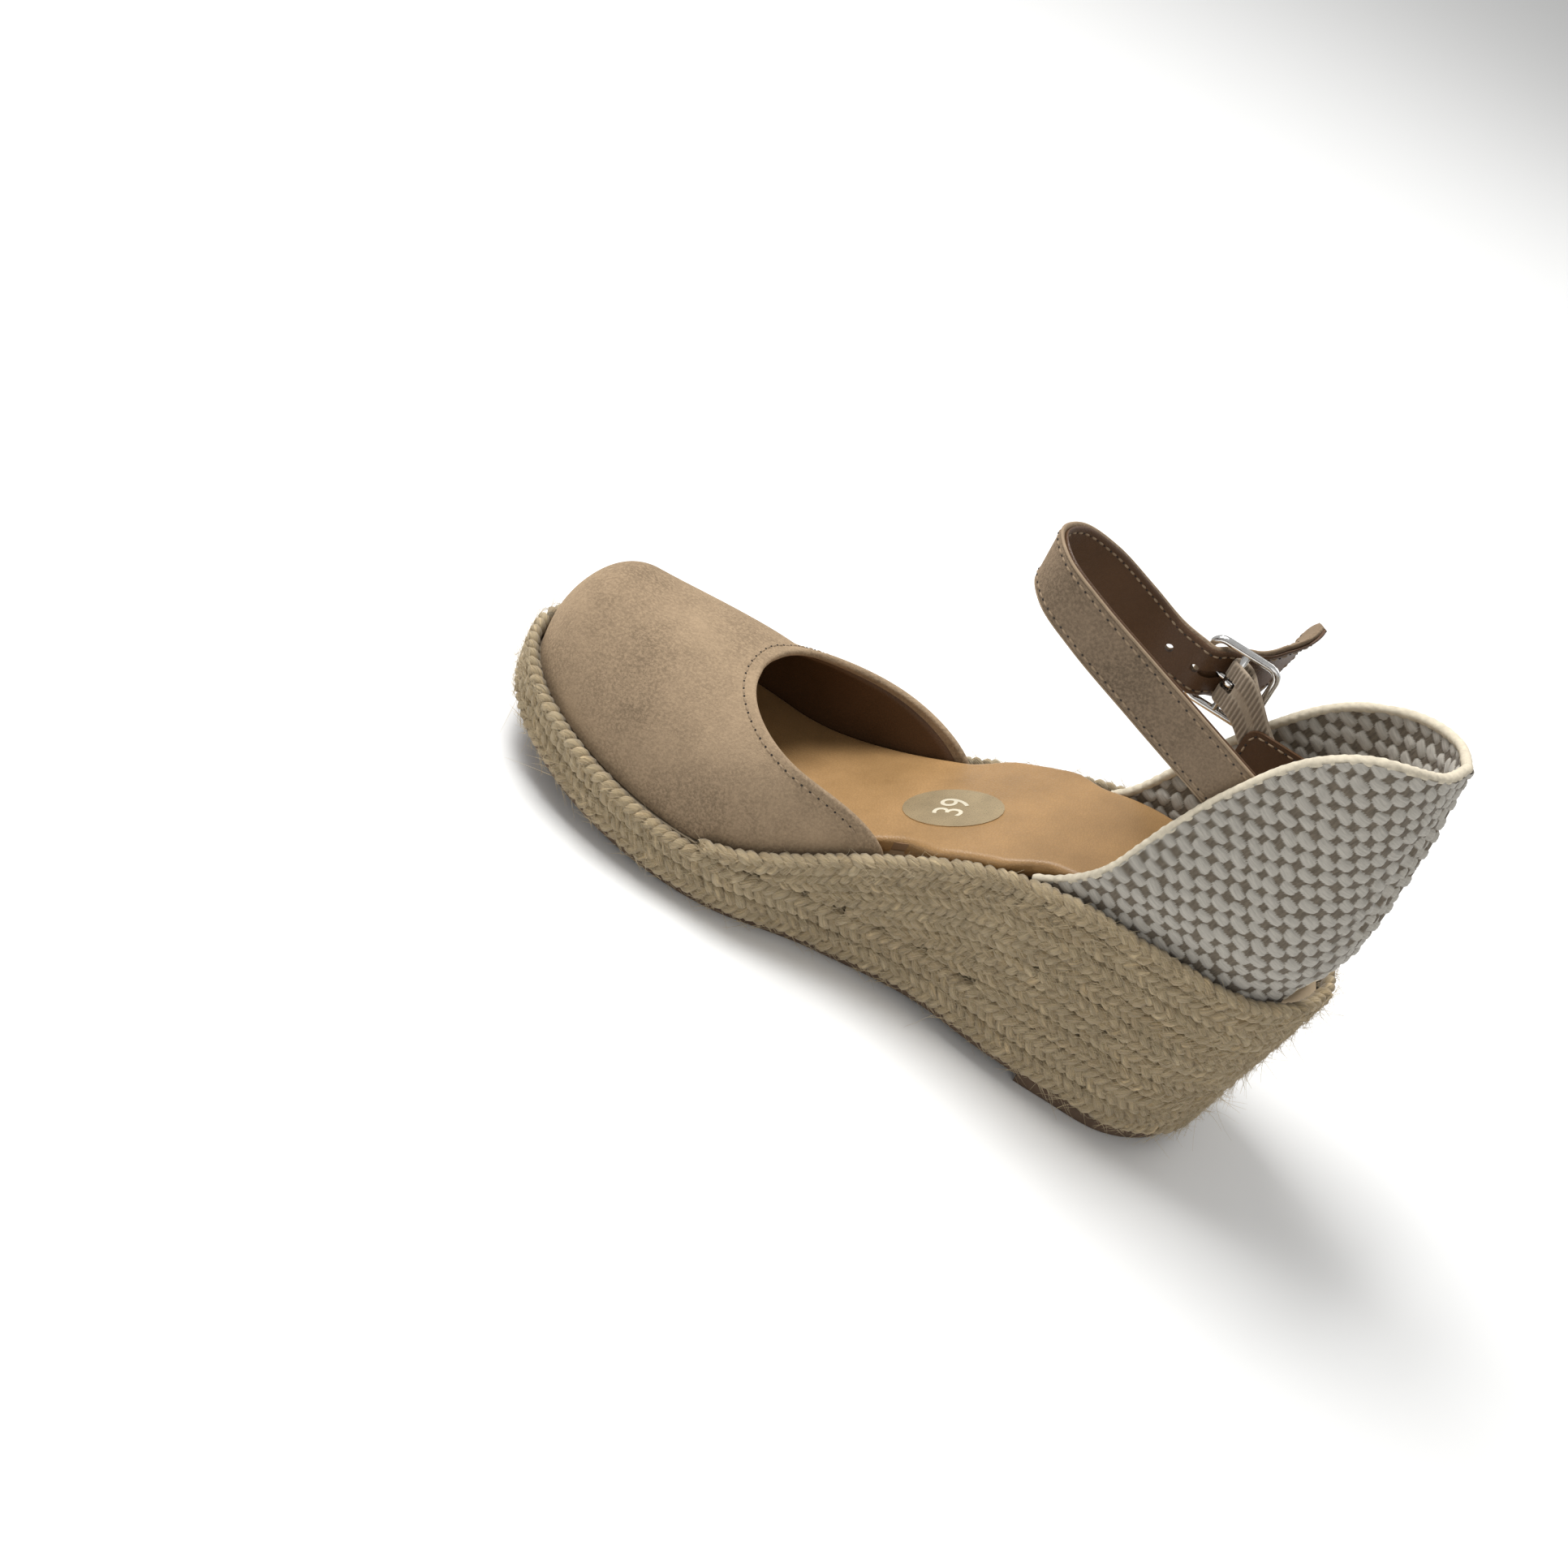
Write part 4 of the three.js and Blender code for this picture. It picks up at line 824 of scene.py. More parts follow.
def build_quarter(sizes):
    """The woven heel quarter with its rolled edges."""
    start, stop = rim_at(EDGE_MEDIAL[-1][0], 1), rim_at(EDGE_LATERAL[-1][0], -1)
    step = sizes.weave_step * 1000
    columns = int((rim_reach(start) + rim_reach(stop)) / step)
    u = np.linspace(start, stop, columns)
    low, high = quarter_bottom(u), quarter_top(u)
    high = np.maximum(high, low + 1)
    rows = int((high - low).max() / step)
    uu = np.repeat(u[:, None], rows, 1)
    zz = low[:, None] + (high - low)[:, None] * np.linspace(0, 1, rows)
    reach = rim_reach(uu)
    # the cloth gathers a little at the heel
    pleat = 0.8 * np.cos(2 * math.pi * reach / 5.2) * smooth((zz - 84) / 10) * smooth((17 - reach) / 7)
    pleat *= smooth((140 - zz) / 20)
    row_way = (-sizes.cell_row[0] * 1000, sizes.cell_row[1] * 1000)
    column_way = (-sizes.cell_column[0] * 1000, -sizes.cell_column[1] * 1000)
    parts = []
    for inside in (0, 1):
        height, yarn, recess_shade, p, q = weave_relief(reach, zz, row_way, column_way, inside)
        depth = -(height - 0.5) - pleat if not inside else QUARTER_CLOTH + height - INNER_SINK - pleat
        points = cloth_point(uu, zz, depth)
        faces = grid_faces(columns, rows)
        if inside:
            faces = faces[:, ::-1]
        uv = np.stack([p * math.hypot(*row_way), q * math.hypot(*column_way)], -1) * MM
        parts.append((points, faces, uv, yarn, recess_shade))
    points, faces, uv, yarn, recess_shade = joined(parts)
    make_piece(
        "woven_quarter", points, faces, MATERIALS["weave"], "shoe", "quarter_cloth", uv,
        {"yarn": yarn, "recess_shade": recess_shade},
    )
    edge = cloth_point(u, high, QUARTER_CLOTH / 2)
    rolled_edge("rolled_top_edge", edge, sizes.roll_radius * 1000)
    w = np.linspace(-WINDOW_HALF * 0.985, WINDOW_HALF * 0.985, 160)
    arch_u = -w / np.where(w < 0, MEDIAL_PATH.length, LATERAL_PATH.length)
    arch = cloth_point(arch_u, quarter_bottom(arch_u), QUARTER_CLOTH / 2)
    rolled_edge("rolled_window_edge", arch, sizes.roll_radius * 1000)


SCALLOP = 3.1  # length of one scallop of the rolled edge


def rolled_edge(name, edge, radius):
    """A scalloped roll of yarn along an edge of the cloth."""
    path = Path(edge, samples=4 * len(edge))
    share = np.linspace(0, 1, int(path.length / 0.35))
    line, way = path.at(share), path.way(share)
    flat = unit(np.cross(way, np.array([0, 0, 1.0])))
    up = np.cross(flat, way)
    s = share * path.length
    scallop = 0.13 * np.abs(np.sin(math.pi * s / SCALLOP))
    swell = radius * (1 + scallop + 0.05 * drift(3, len(s), int(path.length / 5)))
    rings, faces = tube(line, flat, up, swell, swell * 0.95, lobes=5, lobe_depth=0.05, twist=0.14, count=14)
    make_piece(name, rings, faces, MATERIALS["roll"], "shoe")


def surface_normal(points):
    """Outward normals of a grid of points."""
    return unit(np.cross(np.gradient(points, axis=0), np.gradient(points, axis=1)))


TURN_IN = (0.4, 0.9, 1.5, 2.1, 2.7)  # steps by which the folded edge runs back inside


def build_vamp(sizes):
    """The suede vamp with its folded topline, lining and stitching."""
    lip = sizes.topline_radius * 1000
    along = np.concatenate([np.linspace(0, TOE_SHARE, 60), np.linspace(TOE_SHARE, 1, 110)[1:]])
    along[0] = 0.004
    angle = np.linspace(0, math.pi, 150)
    grid = vamp_point(*np.meshgrid(along, angle, indexing="ij"))
    normal = surface_normal(grid)
    reach = np.linalg.norm(np.diff(grid, axis=0), axis=2)[::-1].cumsum(0)[::-1]
    reach = np.concatenate([reach, np.zeros((1, reach.shape[1]))])
    inset = lambda data, far: np.array(
        [[np.interp(-far, -reach[:, j], data[:, j, k]) for k in range(3)] for j in range(data.shape[1])]
    )
    edge, back, face = grid[-1], unit(grid[-1] - grid[-2]), normal[-1]
    turn = np.linspace(0, math.pi, 9)[1:, None, None]
    wrap = edge - face * lip + lip * (np.cos(turn) * face + np.sin(turn) * back)
    strip = np.stack([inset(grid, far) - inset(normal, far) * 2 * lip for far in TURN_IN])
    suede = np.concatenate([grid, wrap, strip])
    faces = grid_faces(*suede.shape[:2])
    make_piece("suede_vamp", suede, faces, MATERIALS["suede"], "shoe", "vamp_suede")
    depth = mix(2 * lip - 0.5, VAMP_LINING_DEPTH, smooth((reach - 1.6) / 3))
    lining = grid - normal * depth[..., None]
    faces = grid_faces(*lining.shape[:2])[:, ::-1]
    brown = MATERIALS["lining"]
    make_piece("vamp_lining_skin", lining, faces, brown, "shoe", "vamp_lining")
    row = inset(grid, sizes.stitch_margin * 1000)[4:-4]
    stitched("vamp_stitch", row, inset(normal, 3.0)[4:-4], "shoe", sizes)


STITCH_SHARE = 0.68  # of the pitch that the thread covers
# length of the painted-shade mark at each needle hole
NEEDLE_HOLE = 0.85


def stitched(name, row, facing, body, sizes):
    """A row of thread stitches with near-black marks between them, painted shade standing in for the needle
    holes.
    """
    pitch = sizes.stitch_pitch * 1000
    places, way = along_line(row, pitch)
    near = np.argmin(((places[:, None] - row[None]) ** 2).sum(-1), 1)
    out = unit(facing[near])
    out = unit(out - way * (out * way).sum(-1, keepdims=True))
    stitch_row(name, places + out * 0.1, way, out, body, MATERIALS["thread"], pitch * STITCH_SHARE)
    # painted shade: a near-black mark sits at each needle hole, where the hole's shade falls
    holes = places + way * pitch / 2 + out * 0.02
    stitch_row(name + "_holes", holes, way, out, body, MATERIALS["hole"], NEEDLE_HOLE)


COVER_INSET, TOE_INSET, WAIST_OUT = 4.6, 1.4, 1.1  # from the rim to the cover's edge
COVER_BLEND, HEEL_DENT = 5.0, 0.7


def build_insole():
    """The leather footbed cover with its soft edge, skirted down to the jute in the waist."""
    s = (1 - np.cos(math.pi * np.linspace(0, 1, 240))) / 2
    w = (1 - np.cos(math.pi * np.linspace(0, 1, 60))) / 2
    x_rim = {side: rim(side * s)[:, 0] for side in (1, -1)}
    edge = {}
    for side in (1, -1):
        x = x_rim[side]
        blend = WAIST_BLEND + COVER_BLEND
        waist = smooth((x - WAIST[0] + blend) / blend) * smooth((WAIST[1] + blend - x) / blend)
        inset = COVER_INSET + TOE_INSET * smooth((x - 158) / 50)
        edge[side] = rim(side * s) + rim_normal(side * s) * mix(-inset, WAIST_OUT, waist)[:, None]
    flat = edge[1][:, None] * (1 - w[None, :, None]) + edge[-1][:, None] * w[None, :, None]
    wide = np.linalg.norm(edge[1] - edge[-1], axis=1)[:, None]
    brim = np.minimum(np.minimum(w, 1 - w)[None] * wide, np.abs(flat[..., 0] - (HEEL_BACK + 5)))
    turned = np.clip(SOCK_EDGE - brim, 0, SOCK_EDGE)
    fall = SOCK_EDGE - np.sqrt(SOCK_EDGE**2 - turned**2)
    crown = 0.5 * smooth(brim / 16) - 0.5
    dent = HEEL_DENT * np.exp(-(((flat[..., 0] - 4) / 26) ** 2) - (flat[..., 1] / 17) ** 2)
    top = flat.copy()
    top[..., 2] = rim_height(flat[..., 0]) + SOCK_TOP - fall + 0.5 + crown * 0.6 - dent
    foot = top.copy()
    foot[..., 2] = rim_height(flat[..., 0]) + SOCK_SKIRT
    faces = grid_faces(*top.shape[:2])
    n = top.shape[0] * top.shape[1]
    columns = top.shape[1]
    first = np.arange(top.shape[0] - 1) * columns
    last = first + columns - 1
    sides = [
        np.stack([first, first + n, first + columns + n, first + columns], -1),
        np.stack([last, last + columns, last + columns + n, last + n], -1),
    ]
    faces = np.concatenate([faces[:, ::-1], faces + n, *sides])
    points = np.concatenate([top.reshape(-1, 3), foot.reshape(-1, 3)])
    tan = MATERIALS["insole"]
    make_piece("footbed_cover", points, faces, tan, "shoe", "insole_sock")


SLAB_STEPS, CAP_STEPS, SLAB_ROUND = 200, 24, 0.5


def rubber_slab(name, start, stop, low, high, stands_for):
    """A slab of rubber under the wedge, following its outline, with a softened edge."""
    share = np.linspace(0, 1, SLAB_STEPS)
    ring = []
    for side in (1, -1):
        a, b = abs(rim_at(start, side)), 1.0 if stop >= TOE_TIP else abs(rim_at(stop, side))
        ring.append(side * mix(a, b, (1 - np.cos(math.pi * share)) / 2))
    layers = []
    profile = ((0, SLAB_ROUND), (0.12, 0), (0.88, 0), (1, SLAB_ROUND))
    for lift, back in profile:
        edges = []
        for u in ring:
            x = rim(u)[:, 0]
            edges.append(wall(u, mix(low(x), high(x), lift), RUBBER_OUT - back))
        layers.append(edges)
    caps = []
    w = np.linspace(0, 1, CAP_STEPS)[None, :, None]
    for inner, outer in (layers[0], layers[-1]):
        caps.append(inner[:, None] * (1 - w) + outer[:, None] * w)
    walls = [np.stack([layer[k] for layer in layers], 1) for k in (0, 1)]
    ends = [np.stack([layer[k][index] for layer in layers]) for index in (0, -1) for k in (0, 1)]
    parts = []
    for sheets in (caps, walls, [np.stack(ends[:2]), np.stack(ends[2:])]):
        faces = grid_faces(*sheets[0].shape[:2])
        parts += [(sheets[0], faces), (sheets[1], faces[:, ::-1])]
    points, faces = joined(parts)
    piece = make_piece(name, points, faces, MATERIALS["rubber"], "shoe", stands_for)
    tidy_normals(piece)


def tidy_normals(piece):
    """Welds doubled points and turns every face outwards."""
    work = bmesh.new()
    work.from_mesh(piece.data)
    bmesh.ops.remove_doubles(work, verts=work.verts, dist=2e-6)
    bmesh.ops.recalc_face_normals(work, faces=work.faces)
    work.to_mesh(piece.data)
    work.free()


def strap_ring(low, high, corner, count=18):
    """Cross-section of one strap layer as shares of its half width and depths."""
    w = np.linspace(-1, 1, count)
    pull = np.clip((np.abs(w) - (1 - corner / 8)) / (corner / 8), 0, 1)
    middle, half = (low + high) / 2, (high - low) / 2
    swell = half * np.sqrt(np.clip(1 - pull**2, 0.02, 1))
    return np.concatenate([w, w[::-1]]), np.concatenate([middle - swell, middle + swell])


LINING_SHARE = 0.985  # of the suede's width that its leather back has
SUEDE_LOW = -0.22  # depth at which the suede meets the leather
STITCH_LINE, RAW_EDGE = 6.1, 1.27  # stitches off the strap's middle, and its cut edge as a share of that


def build_strap(sizes):
    """The ankle strap's suede and leather, punched and stitched."""
    length = STRAP_LINE.length
    t = np.linspace(0, 1, 460)
    tip = np.clip((1 - t) * length, 0.3, STRAP_WIDTH / 2) / (STRAP_WIDTH / 2)
    half = STRAP_WIDTH / 2 * np.sqrt(1 - (1 - tip) ** 2)
    layers = (
        ("strap_suede_skin", SUEDE_LOW, STRAP_THICK / 2, "strap", "suede", "strap_suede", 0.9),
        (
            "strap_leather_back", -STRAP_THICK / 2, SUEDE_LOW - 0.03,
            "lining", "brown_leather", "strap_lining", 0.6,
        ),
    )
    cutter = strap_cutter(length)
    for name, low, high, finish, slot, node, corner in layers:
        w, d = strap_ring(low, high, corner)
        across = half[:, None] * w[None] * (LINING_SHARE if node == "strap_lining" else 1)
        rings = strap_point(t[:, None], across, np.broadcast_to(d, across.shape))
        start, end = (rings[k].mean(0) + 0 * rings[k] for k in (0, -1))
        rings = np.concatenate([start[None], rings, end[None]])
        faces = grid_faces(*rings.shape[:2], False, True)
        piece = make_piece(name, rings, faces, MATERIALS[finish], "ankle_strap", node)
        tidy_normals(piece)
        punch(piece, cutter)
    bpy.data.objects.remove(cutter)
    stitch_t = np.linspace(0.012, 0.975, 500)
    for tag, w in (("upper", STITCH_LINE), ("lower", -STITCH_LINE)):
        row = strap_point(stitch_t, np.full(500, w), np.full(500, STRAP_THICK / 2 - 0.05))
        stitched(f"strap_stitch_{tag}", row, strap_frame(stitch_t)[3], "ankle_strap", sizes)
        line = strap_point(stitch_t, np.full(500, w * RAW_EDGE), np.full(500, STRAP_THICK / 2 - 0.42))
        along, across, out = strap_frame(stitch_t)[1:]
        rings, faces = tube(line, across, out, 0.36, 0.42, count=10)
        make_piece(f"strap_raw_edge_{tag}", rings, faces, MATERIALS["thread"], "ankle_strap")
        back = strap_point(stitch_t, np.full(500, w), np.full(500, -STRAP_THICK / 2 + 0.05))
        stitched(f"strap_back_stitch_{tag}", back, -strap_frame(stitch_t)[3], "ankle_strap", sizes)


X_WAY, Y_WAY, Z_WAY = np.eye(3)


def strap_cutter(length):
    """Rods and a slot that punch the strap's holes."""
    parts = []
    for k in (-2, -1, 0, 1, 2):
        t = np.array([BAR_SHARE + (k * STRAP_HOLE_PITCH - HALF_BUCKLE * 0.5) / length])
        at, along, across, out = (v[0] for v in strap_frame(t))
        line = at + out * np.linspace(-4, 4, 2)[:, None]
        parts.append(rod(line, along, across, STRAP_HOLE / 2, STRAP_HOLE / 2, 24))
    x, y, z = BUCKLE + (HALF_BUCKLE * 0.55, 0, 0)
    line = np.array([[x, y - 7, z], [x, y + 7, z]])
    parts.append(rod(line, X_WAY, Z_WAY, HALF_BUCKLE * 0.375, PRONG_WIRE / 2 + GAP, 24))
    points, faces = joined(parts)
    mesh = bpy.data.meshes.new("strap_cutter")
    mesh.from_pydata([tuple(p) for p in points * MM], [], [tuple(int(v) for v in q) for q in faces])
    cutter = bpy.data.objects.new("strap_cutter", mesh)
    bpy.context.scene.collection.objects.link(cutter)
    tidy_normals(cutter)
    return cutter


def punch(piece, cutter):
    """Cuts the cutter's shape out of a piece."""
    hole = piece.modifiers.new("holes", "BOOLEAN")
    hole.operation, hole.solver, hole.object = "DIFFERENCE", "FAST", cutter
    depsgraph = bpy.context.evaluated_depsgraph_get()
    cut = bpy.data.meshes.new_from_object(piece.evaluated_get(depsgraph))
    piece.modifiers.remove(hole)
    piece.data = cut


def build_buckle():
    """The centre-bar buckle's frame and its prong."""
    corner, tall = 3.5, STRAP_WIDTH / 2 + SIDE_PLAY + BUCKLE_WIRE / 2
    turn = np.linspace(0, math.pi / 2, 12)
    line = []
    for k, (sx, sz) in enumerate(((1, 1), (-1, 1), (-1, -1), (1, -1))):
        a = turn + k * math.pi / 2
        centre = np.array([sx * (HALF_BUCKLE - corner), 0, sz * (tall - corner)])
        line.append(centre + corner * np.stack([np.cos(a), 0 * a, np.sin(a)], -1))
    line = np.concatenate(line)
    way = unit(np.roll(line, -1, 0) - np.roll(line, 1, 0))
    depth = np.broadcast_to(Y_WAY, line.shape)
    side = unit(np.cross(way, depth))
    r = BUCKLE_WIRE / 2
    loop = tube(line + BUCKLE, side, depth, r, r, closed=True, count=20)
    bar = rod(np.array([-tall * Z_WAY, tall * Z_WAY]) + BUCKLE, X_WAY, Y_WAY, BAR_WIRE / 2, BAR_WIRE / 2, 20)
    points, faces = joined([loop, bar])
    make_piece("buckle_loop", points, faces, MATERIALS["silver"], "buckle", "buckle_frame")
    a = np.linspace(0, 2 * math.pi, 40, endpoint=False)
    eye_radius = BAR_WIRE / 2 + GAP + 0.5
    circle = np.stack([np.cos(a), np.sin(a), 0 * a], -1)
    up = np.broadcast_to(Z_WAY, circle.shape)
    eye = tube(circle * eye_radius + BUCKLE, circle, up, 0.5, 1.05, closed=True, count=14)
    s = np.linspace(0, 1, 30)
    rest = -r - GAP - PRONG_WIRE / 2
    pin = np.stack([mix(1.7, HALF_BUCKLE + 1.7, s), mix(-0.7, rest, smooth(s * 1.3)), 0 * s], -1) + BUCKLE
    way = unit(np.gradient(pin, axis=0))
    up = np.broadcast_to(Z_WAY, pin.shape)
    thin = PRONG_WIRE / 2 * (1 - 0.35 * smooth((s - 0.8) / 0.2))
    shaft = tube(pin, np.cross(way, up), up, thin, thin, count=16)
    points, faces = joined([eye, shaft])
    make_piece("buckle_tongue", points, faces, MATERIALS["silver"], "prong", "buckle_prong")


SLIT_REACH = (2.7, 3.4)  # half length and depth of the opening for the prong


def build_elastic(sizes):
    """The ribbed elastic folded round the buckle's bar."""
    inner = BUCKLE_WIRE / 2 + GAP + BUCKLE_SWING + ELASTIC_PLY / 2
    outer = inner + ELASTIC_PLY + GAP
    radius = BAR_WIRE / 2 + GAP + ELASTIC_PLY / 2
    a = math.pi * (0.5 - 1.25 * np.arange(9) / 8)
    line = (
        [(-ELASTIC_RUN, outer, 0), (-HALF_BUCKLE * 0.7, outer, 0), (-3, outer - 0.6, 0)]
        + [(radius * math.cos(v), radius * math.sin(v), 0) for v in a]
        + [(-4.2, 0.4, 0), (-HALF_BUCKLE * 0.7, inner - 0.1, 0), (-ELASTIC_RUN, inner, 0)]
    )
    path = Path(line)
    share = np.linspace(0, 1, int(path.length / 0.16))
    at, way = path.at(share), path.way(share)
    side = np.stack([-way[:, 1], way[:, 0], 0 * way[:, 0]], -1)
    drop = ELASTIC_DROP * smooth((-at[:, 0] - 2) / (ELASTIC_RUN - 2))
    w = np.linspace(-1, 1, 41)
    column = smooth((np.abs(w) - 0.16) / 0.08) * smooth((0.93 - np.abs(w)) / 0.06)
    pitch = sizes.rib_pitch * 1000
    rib = 0.5 + 0.5 * np.cos(2 * math.pi * share * path.length / pitch)
    relief = 0.3 * rib[:, None] * column[None]
    edge = np.sqrt(np.clip(1 - np.clip((np.abs(w) - 0.95) / 0.05, 0, 1) ** 2, 0.05, 1))
    half = ELASTIC_PLY / 2 * edge[None] - 0.12 + relief
    sheets = []
    for sign in (1, -1):
        p = at[:, None] + side[:, None] * (sign * half)[..., None]
        p = p + Z_WAY * (w[None] * ELASTIC_WIDTH / 2 - drop[:, None])[..., None] + BUCKLE
        sheets.append(p)
    rings = np.concatenate([sheets[0], sheets[1][:, ::-1]], 1)
    # painted shade: the grooves between the ribs are marked for darkening
    recess_shade = np.concatenate([(1 - rib)[:, None] * column[None]] * 2, 1) * 0.6
    across = np.concatenate([w, w[::-1]]) * ELASTIC_WIDTH / 2
    uv = np.stack(np.broadcast_arrays(share[:, None] * path.length, across), -1) * MM
    faces = grid_faces(*rings.shape[:2], False, True)
    middle = rings.reshape(-1, 3)[faces].mean(1) - BUCKLE
    slit = (np.abs(middle) < (*SLIT_REACH, ELASTIC_SLIT / 2)).all(1)
    make_piece(
        "ribbed_elastic", rings, faces[~slit], MATERIALS["elastic"],
        "ankle_strap", "elastic_tab", uv, {"recess_shade": recess_shade},
    )


def patch_stitches(node, facing, sizes):
    """Stitches round a sewn leather patch."""
    low, high = (np.array(v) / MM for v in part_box(node))
    margin, corner = 1.6, 3.0
    cx, cz = (low[0] + high[0]) / 2, (low[2] + high[2]) / 2
    hx, hz = (high[0] - low[0]) / 2 - margin - corner, (high[2] - low[2]) / 2 - margin - corner
    y = high[1] + 0.05 if facing > 0 else low[1] - 0.05
    a = np.linspace(0, math.pi / 2, 8)
    line = []
    for k, (sx, sz) in enumerate(((1, 1), (-1, 1), (-1, -1), (1, -1))):
        turn = a + k * math.pi / 2
        x, z = cx + sx * hx + corner * np.cos(turn), cz + sz * hz + corner * np.sin(turn)
        line.append(np.stack([x, y + 0 * turn, z], -1))
    line = np.concatenate(line + [line[0][:1]])
    out = np.broadcast_to([0.0, float(facing), 0.0], line.shape)
    stitched(f"{node}_stitch", line, out, "shoe", sizes)


PATCH_EDGE = 0.35  # softened edge of the patches
LABEL_THICK, PRINT_LIFT = 0.4, 0.12


def build_details(sizes):
    """Finishes of the plain pieces, the patches' stitches and the size numeral."""
    for node, finish, soft in (
        ("wedge_core", "core", 0),
        ("steel_shank", "steel", 0),
        ("insole_board", "board", 0),
        ("footbed_foam", "foam", 0),
        ("toe_puff", "puff", 0),
        ("size_label", "label", 0),
        ("strap_patch", "lining", PATCH_EDGE),
        ("elastic_patch", "lining", PATCH_EDGE),
    ):
        node_object = NODES[node]
        node_object.data.materials.clear()
        node_object.data.materials.append(MATERIALS[finish])
        if soft:
            bevel = node_object.modifiers.new("soft_edge", "BEVEL")
            bevel.width, bevel.segments, bevel.limit_method = soft * MM, 3, "ANGLE"
            bevel.harden_normals = True
    patch_stitches("strap_patch", -1, sizes)
    patch_stitches("elastic_patch", 1, sizes)
    text = bpy.data.curves.new("size_numeral", "FONT")
    text.body, text.size, text.extrude = "39", 0.011, 0.00008
    text.align_x = text.align_y = "CENTER"
    holder = bpy.data.objects.new("size_numeral_text", text)
    bpy.context.scene.collection.objects.link(holder)
    mesh = bpy.data.meshes.new_from_object(holder.evaluated_get(bpy.context.evaluated_depsgraph_get()))
    bpy.data.objects.remove(holder)
    low, high = (np.array(v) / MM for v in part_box("size_label"))
    co = np.empty(len(mesh.vertices) * 3)
    mesh.vertices.foreach_get("co", co)
    co = co.reshape(-1, 3) / MM
    x, y = co[:, 1] + (low[0] + high[0]) / 2, -co[:, 0] + (low[1] + high[1]) / 2
    lift = SOCK_TOP + GAP + LABEL_THICK + PRINT_LIFT + co[:, 2]
    mesh.vertices.foreach_set("co", (np.stack([x, y, rim_height(x) + lift], -1) * MM).ravel())
    mesh.materials.append(MATERIALS["numeral"])
    numeral = bpy.data.objects.new("size_numeral", mesh)
    bpy.context.scene.collection.objects.link(numeral)
    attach(numeral, "shoe")


LAMP_AIM = (0.08, 0, 0.06)
WORLD_POWER = 0.42
LAMPS = (  # name, place, size in m and power in W
    ("key", (0.65, -0.15, 1.15), 0.6, 19.0),
    ("fill", (-0.5, 0.9, 0.5), 0.9, 1.6),
    ("back", (-0.4, -0.8, 0.7), 0.8, 3.0),
)
CAMERA_LENS, CAMERA_SENSOR = 49.61, 36
CAMERA_PLACE = (0.020106, 0.505734, 0.400976)
CAMERA_FORWARD, CAMERA_UP = (0.16301, -0.79091, -0.58982), (0.54472, -0.4263, 0.72218)


def build_stage():
    """A pale floor, soft lights and the camera."""
    scene = bpy.context.scene
    floor_mesh = bpy.data.meshes.new("floor")
    floor_mesh.from_pydata([(-3, -3, 0), (3, -3, 0), (3, 3, 0), (-3, 3, 0)], [], [(0, 1, 2, 3)])
    paint = bpy.data.materials.new("pale_floor")
    paint.use_nodes = True
    shader = paint.node_tree.nodes["Principled BSDF"]
    shader.inputs["Base Color"].default_value = (0.86, 0.86, 0.85, 1)
    shader.inputs["Roughness"].default_value = 0.9
    floor_mesh.materials.append(paint)
    floor = bpy.data.objects.new("floor", floor_mesh)
    scene.collection.objects.link(floor)
    world = bpy.data.worlds.new("studio")
    world.use_nodes = True
    world.node_tree.nodes["Background"].inputs[0].default_value = (1, 1, 1, 1)
    world.node_tree.nodes["Background"].inputs[1].default_value = WORLD_POWER
    scene.world = world
    for name, spot, size, power in LAMPS:
        light = bpy.data.lights.new(name, "AREA")
        light.size, light.energy = size, power
        lamp = bpy.data.objects.new(name, light)
        lamp.location = spot
        lamp.rotation_euler = (Vector(LAMP_AIM) - Vector(spot)).to_track_quat("-Z", "Y").to_euler()
        scene.collection.objects.link(lamp)
    camera = bpy.data.cameras.new("camera")
    camera.lens, camera.sensor_width = CAMERA_LENS, CAMERA_SENSOR
    holder = bpy.data.objects.new("camera", camera)
    forward, up = Vector(CAMERA_FORWARD), Vector(CAMERA_UP)
    right = forward.cross(up)
    turn = Matrix((right, up, -forward)).transposed().to_4x4()
    holder.matrix_world = Matrix.Translation(CAMERA_PLACE) @ turn
    scene.collection.objects.link(holder)
    scene.camera = holder
    scene.view_settings.view_transform = "Standard"


# ------------------------------------------------------------ the add-on
def length(label, text, value, size=None):
    """A length property, or a set of lengths."""
    given = dict(name=label, description=text, default=value, unit="LENGTH")
    if size:
        return bpy.props.FloatVectorProperty(size=size, **given)
    return bpy.props.FloatProperty(**given)


class SandalSizes(bpy.types.PropertyGroup):
    """Sizes of the sandal's soft detail"""

    plait_pitch: length("Plait pitch", "Length of braid in which a strand comes back to its side", 0.0098)
    plait_step: length("Plait step", "Distance between the rings of a strand", 0.0007)
    strand_radius: length("Strand radius", "Half the thickness of a jute strand", 0.00145)
    fibre_count: bpy.props.IntProperty(
        name="Loose fibres", description="Number of fibres standing off the jute", default=17000
    )
    weave_step: length("Weave step", "Distance between the points of the woven surface", 0.00036)
    cell_row: length("Cell along the rows", "Heelward and upward reach", (0.00335, -0.0014), 2)
    cell_column: length("Cell across the rows", "Heelward and downward reach", (0.00085, -0.0029), 2)
    roll_radius: length("Rolled edge", "Half the thickness of the quarter's rolled edge", 0.0013)
    topline_radius: length("Topline", "Half the thickness of the vamp's folded edge", 0.0011)
    stitch_margin: length("Stitch margin", "Distance of the stitches from the topline", 0.0028)
    stitch_pitch: length("Stitch pitch", "Length from one stitch to the next", 0.0030)
    rib_pitch: length("Rib pitch", "Distance between the elastic's ribs", 0.00125)


def colour(label, text, value):
    """A colour property."""
    return bpy.props.FloatVectorProperty(
        name=label, description=text, size=3, subtype="COLOR", min=0, max=1, default=value
    )


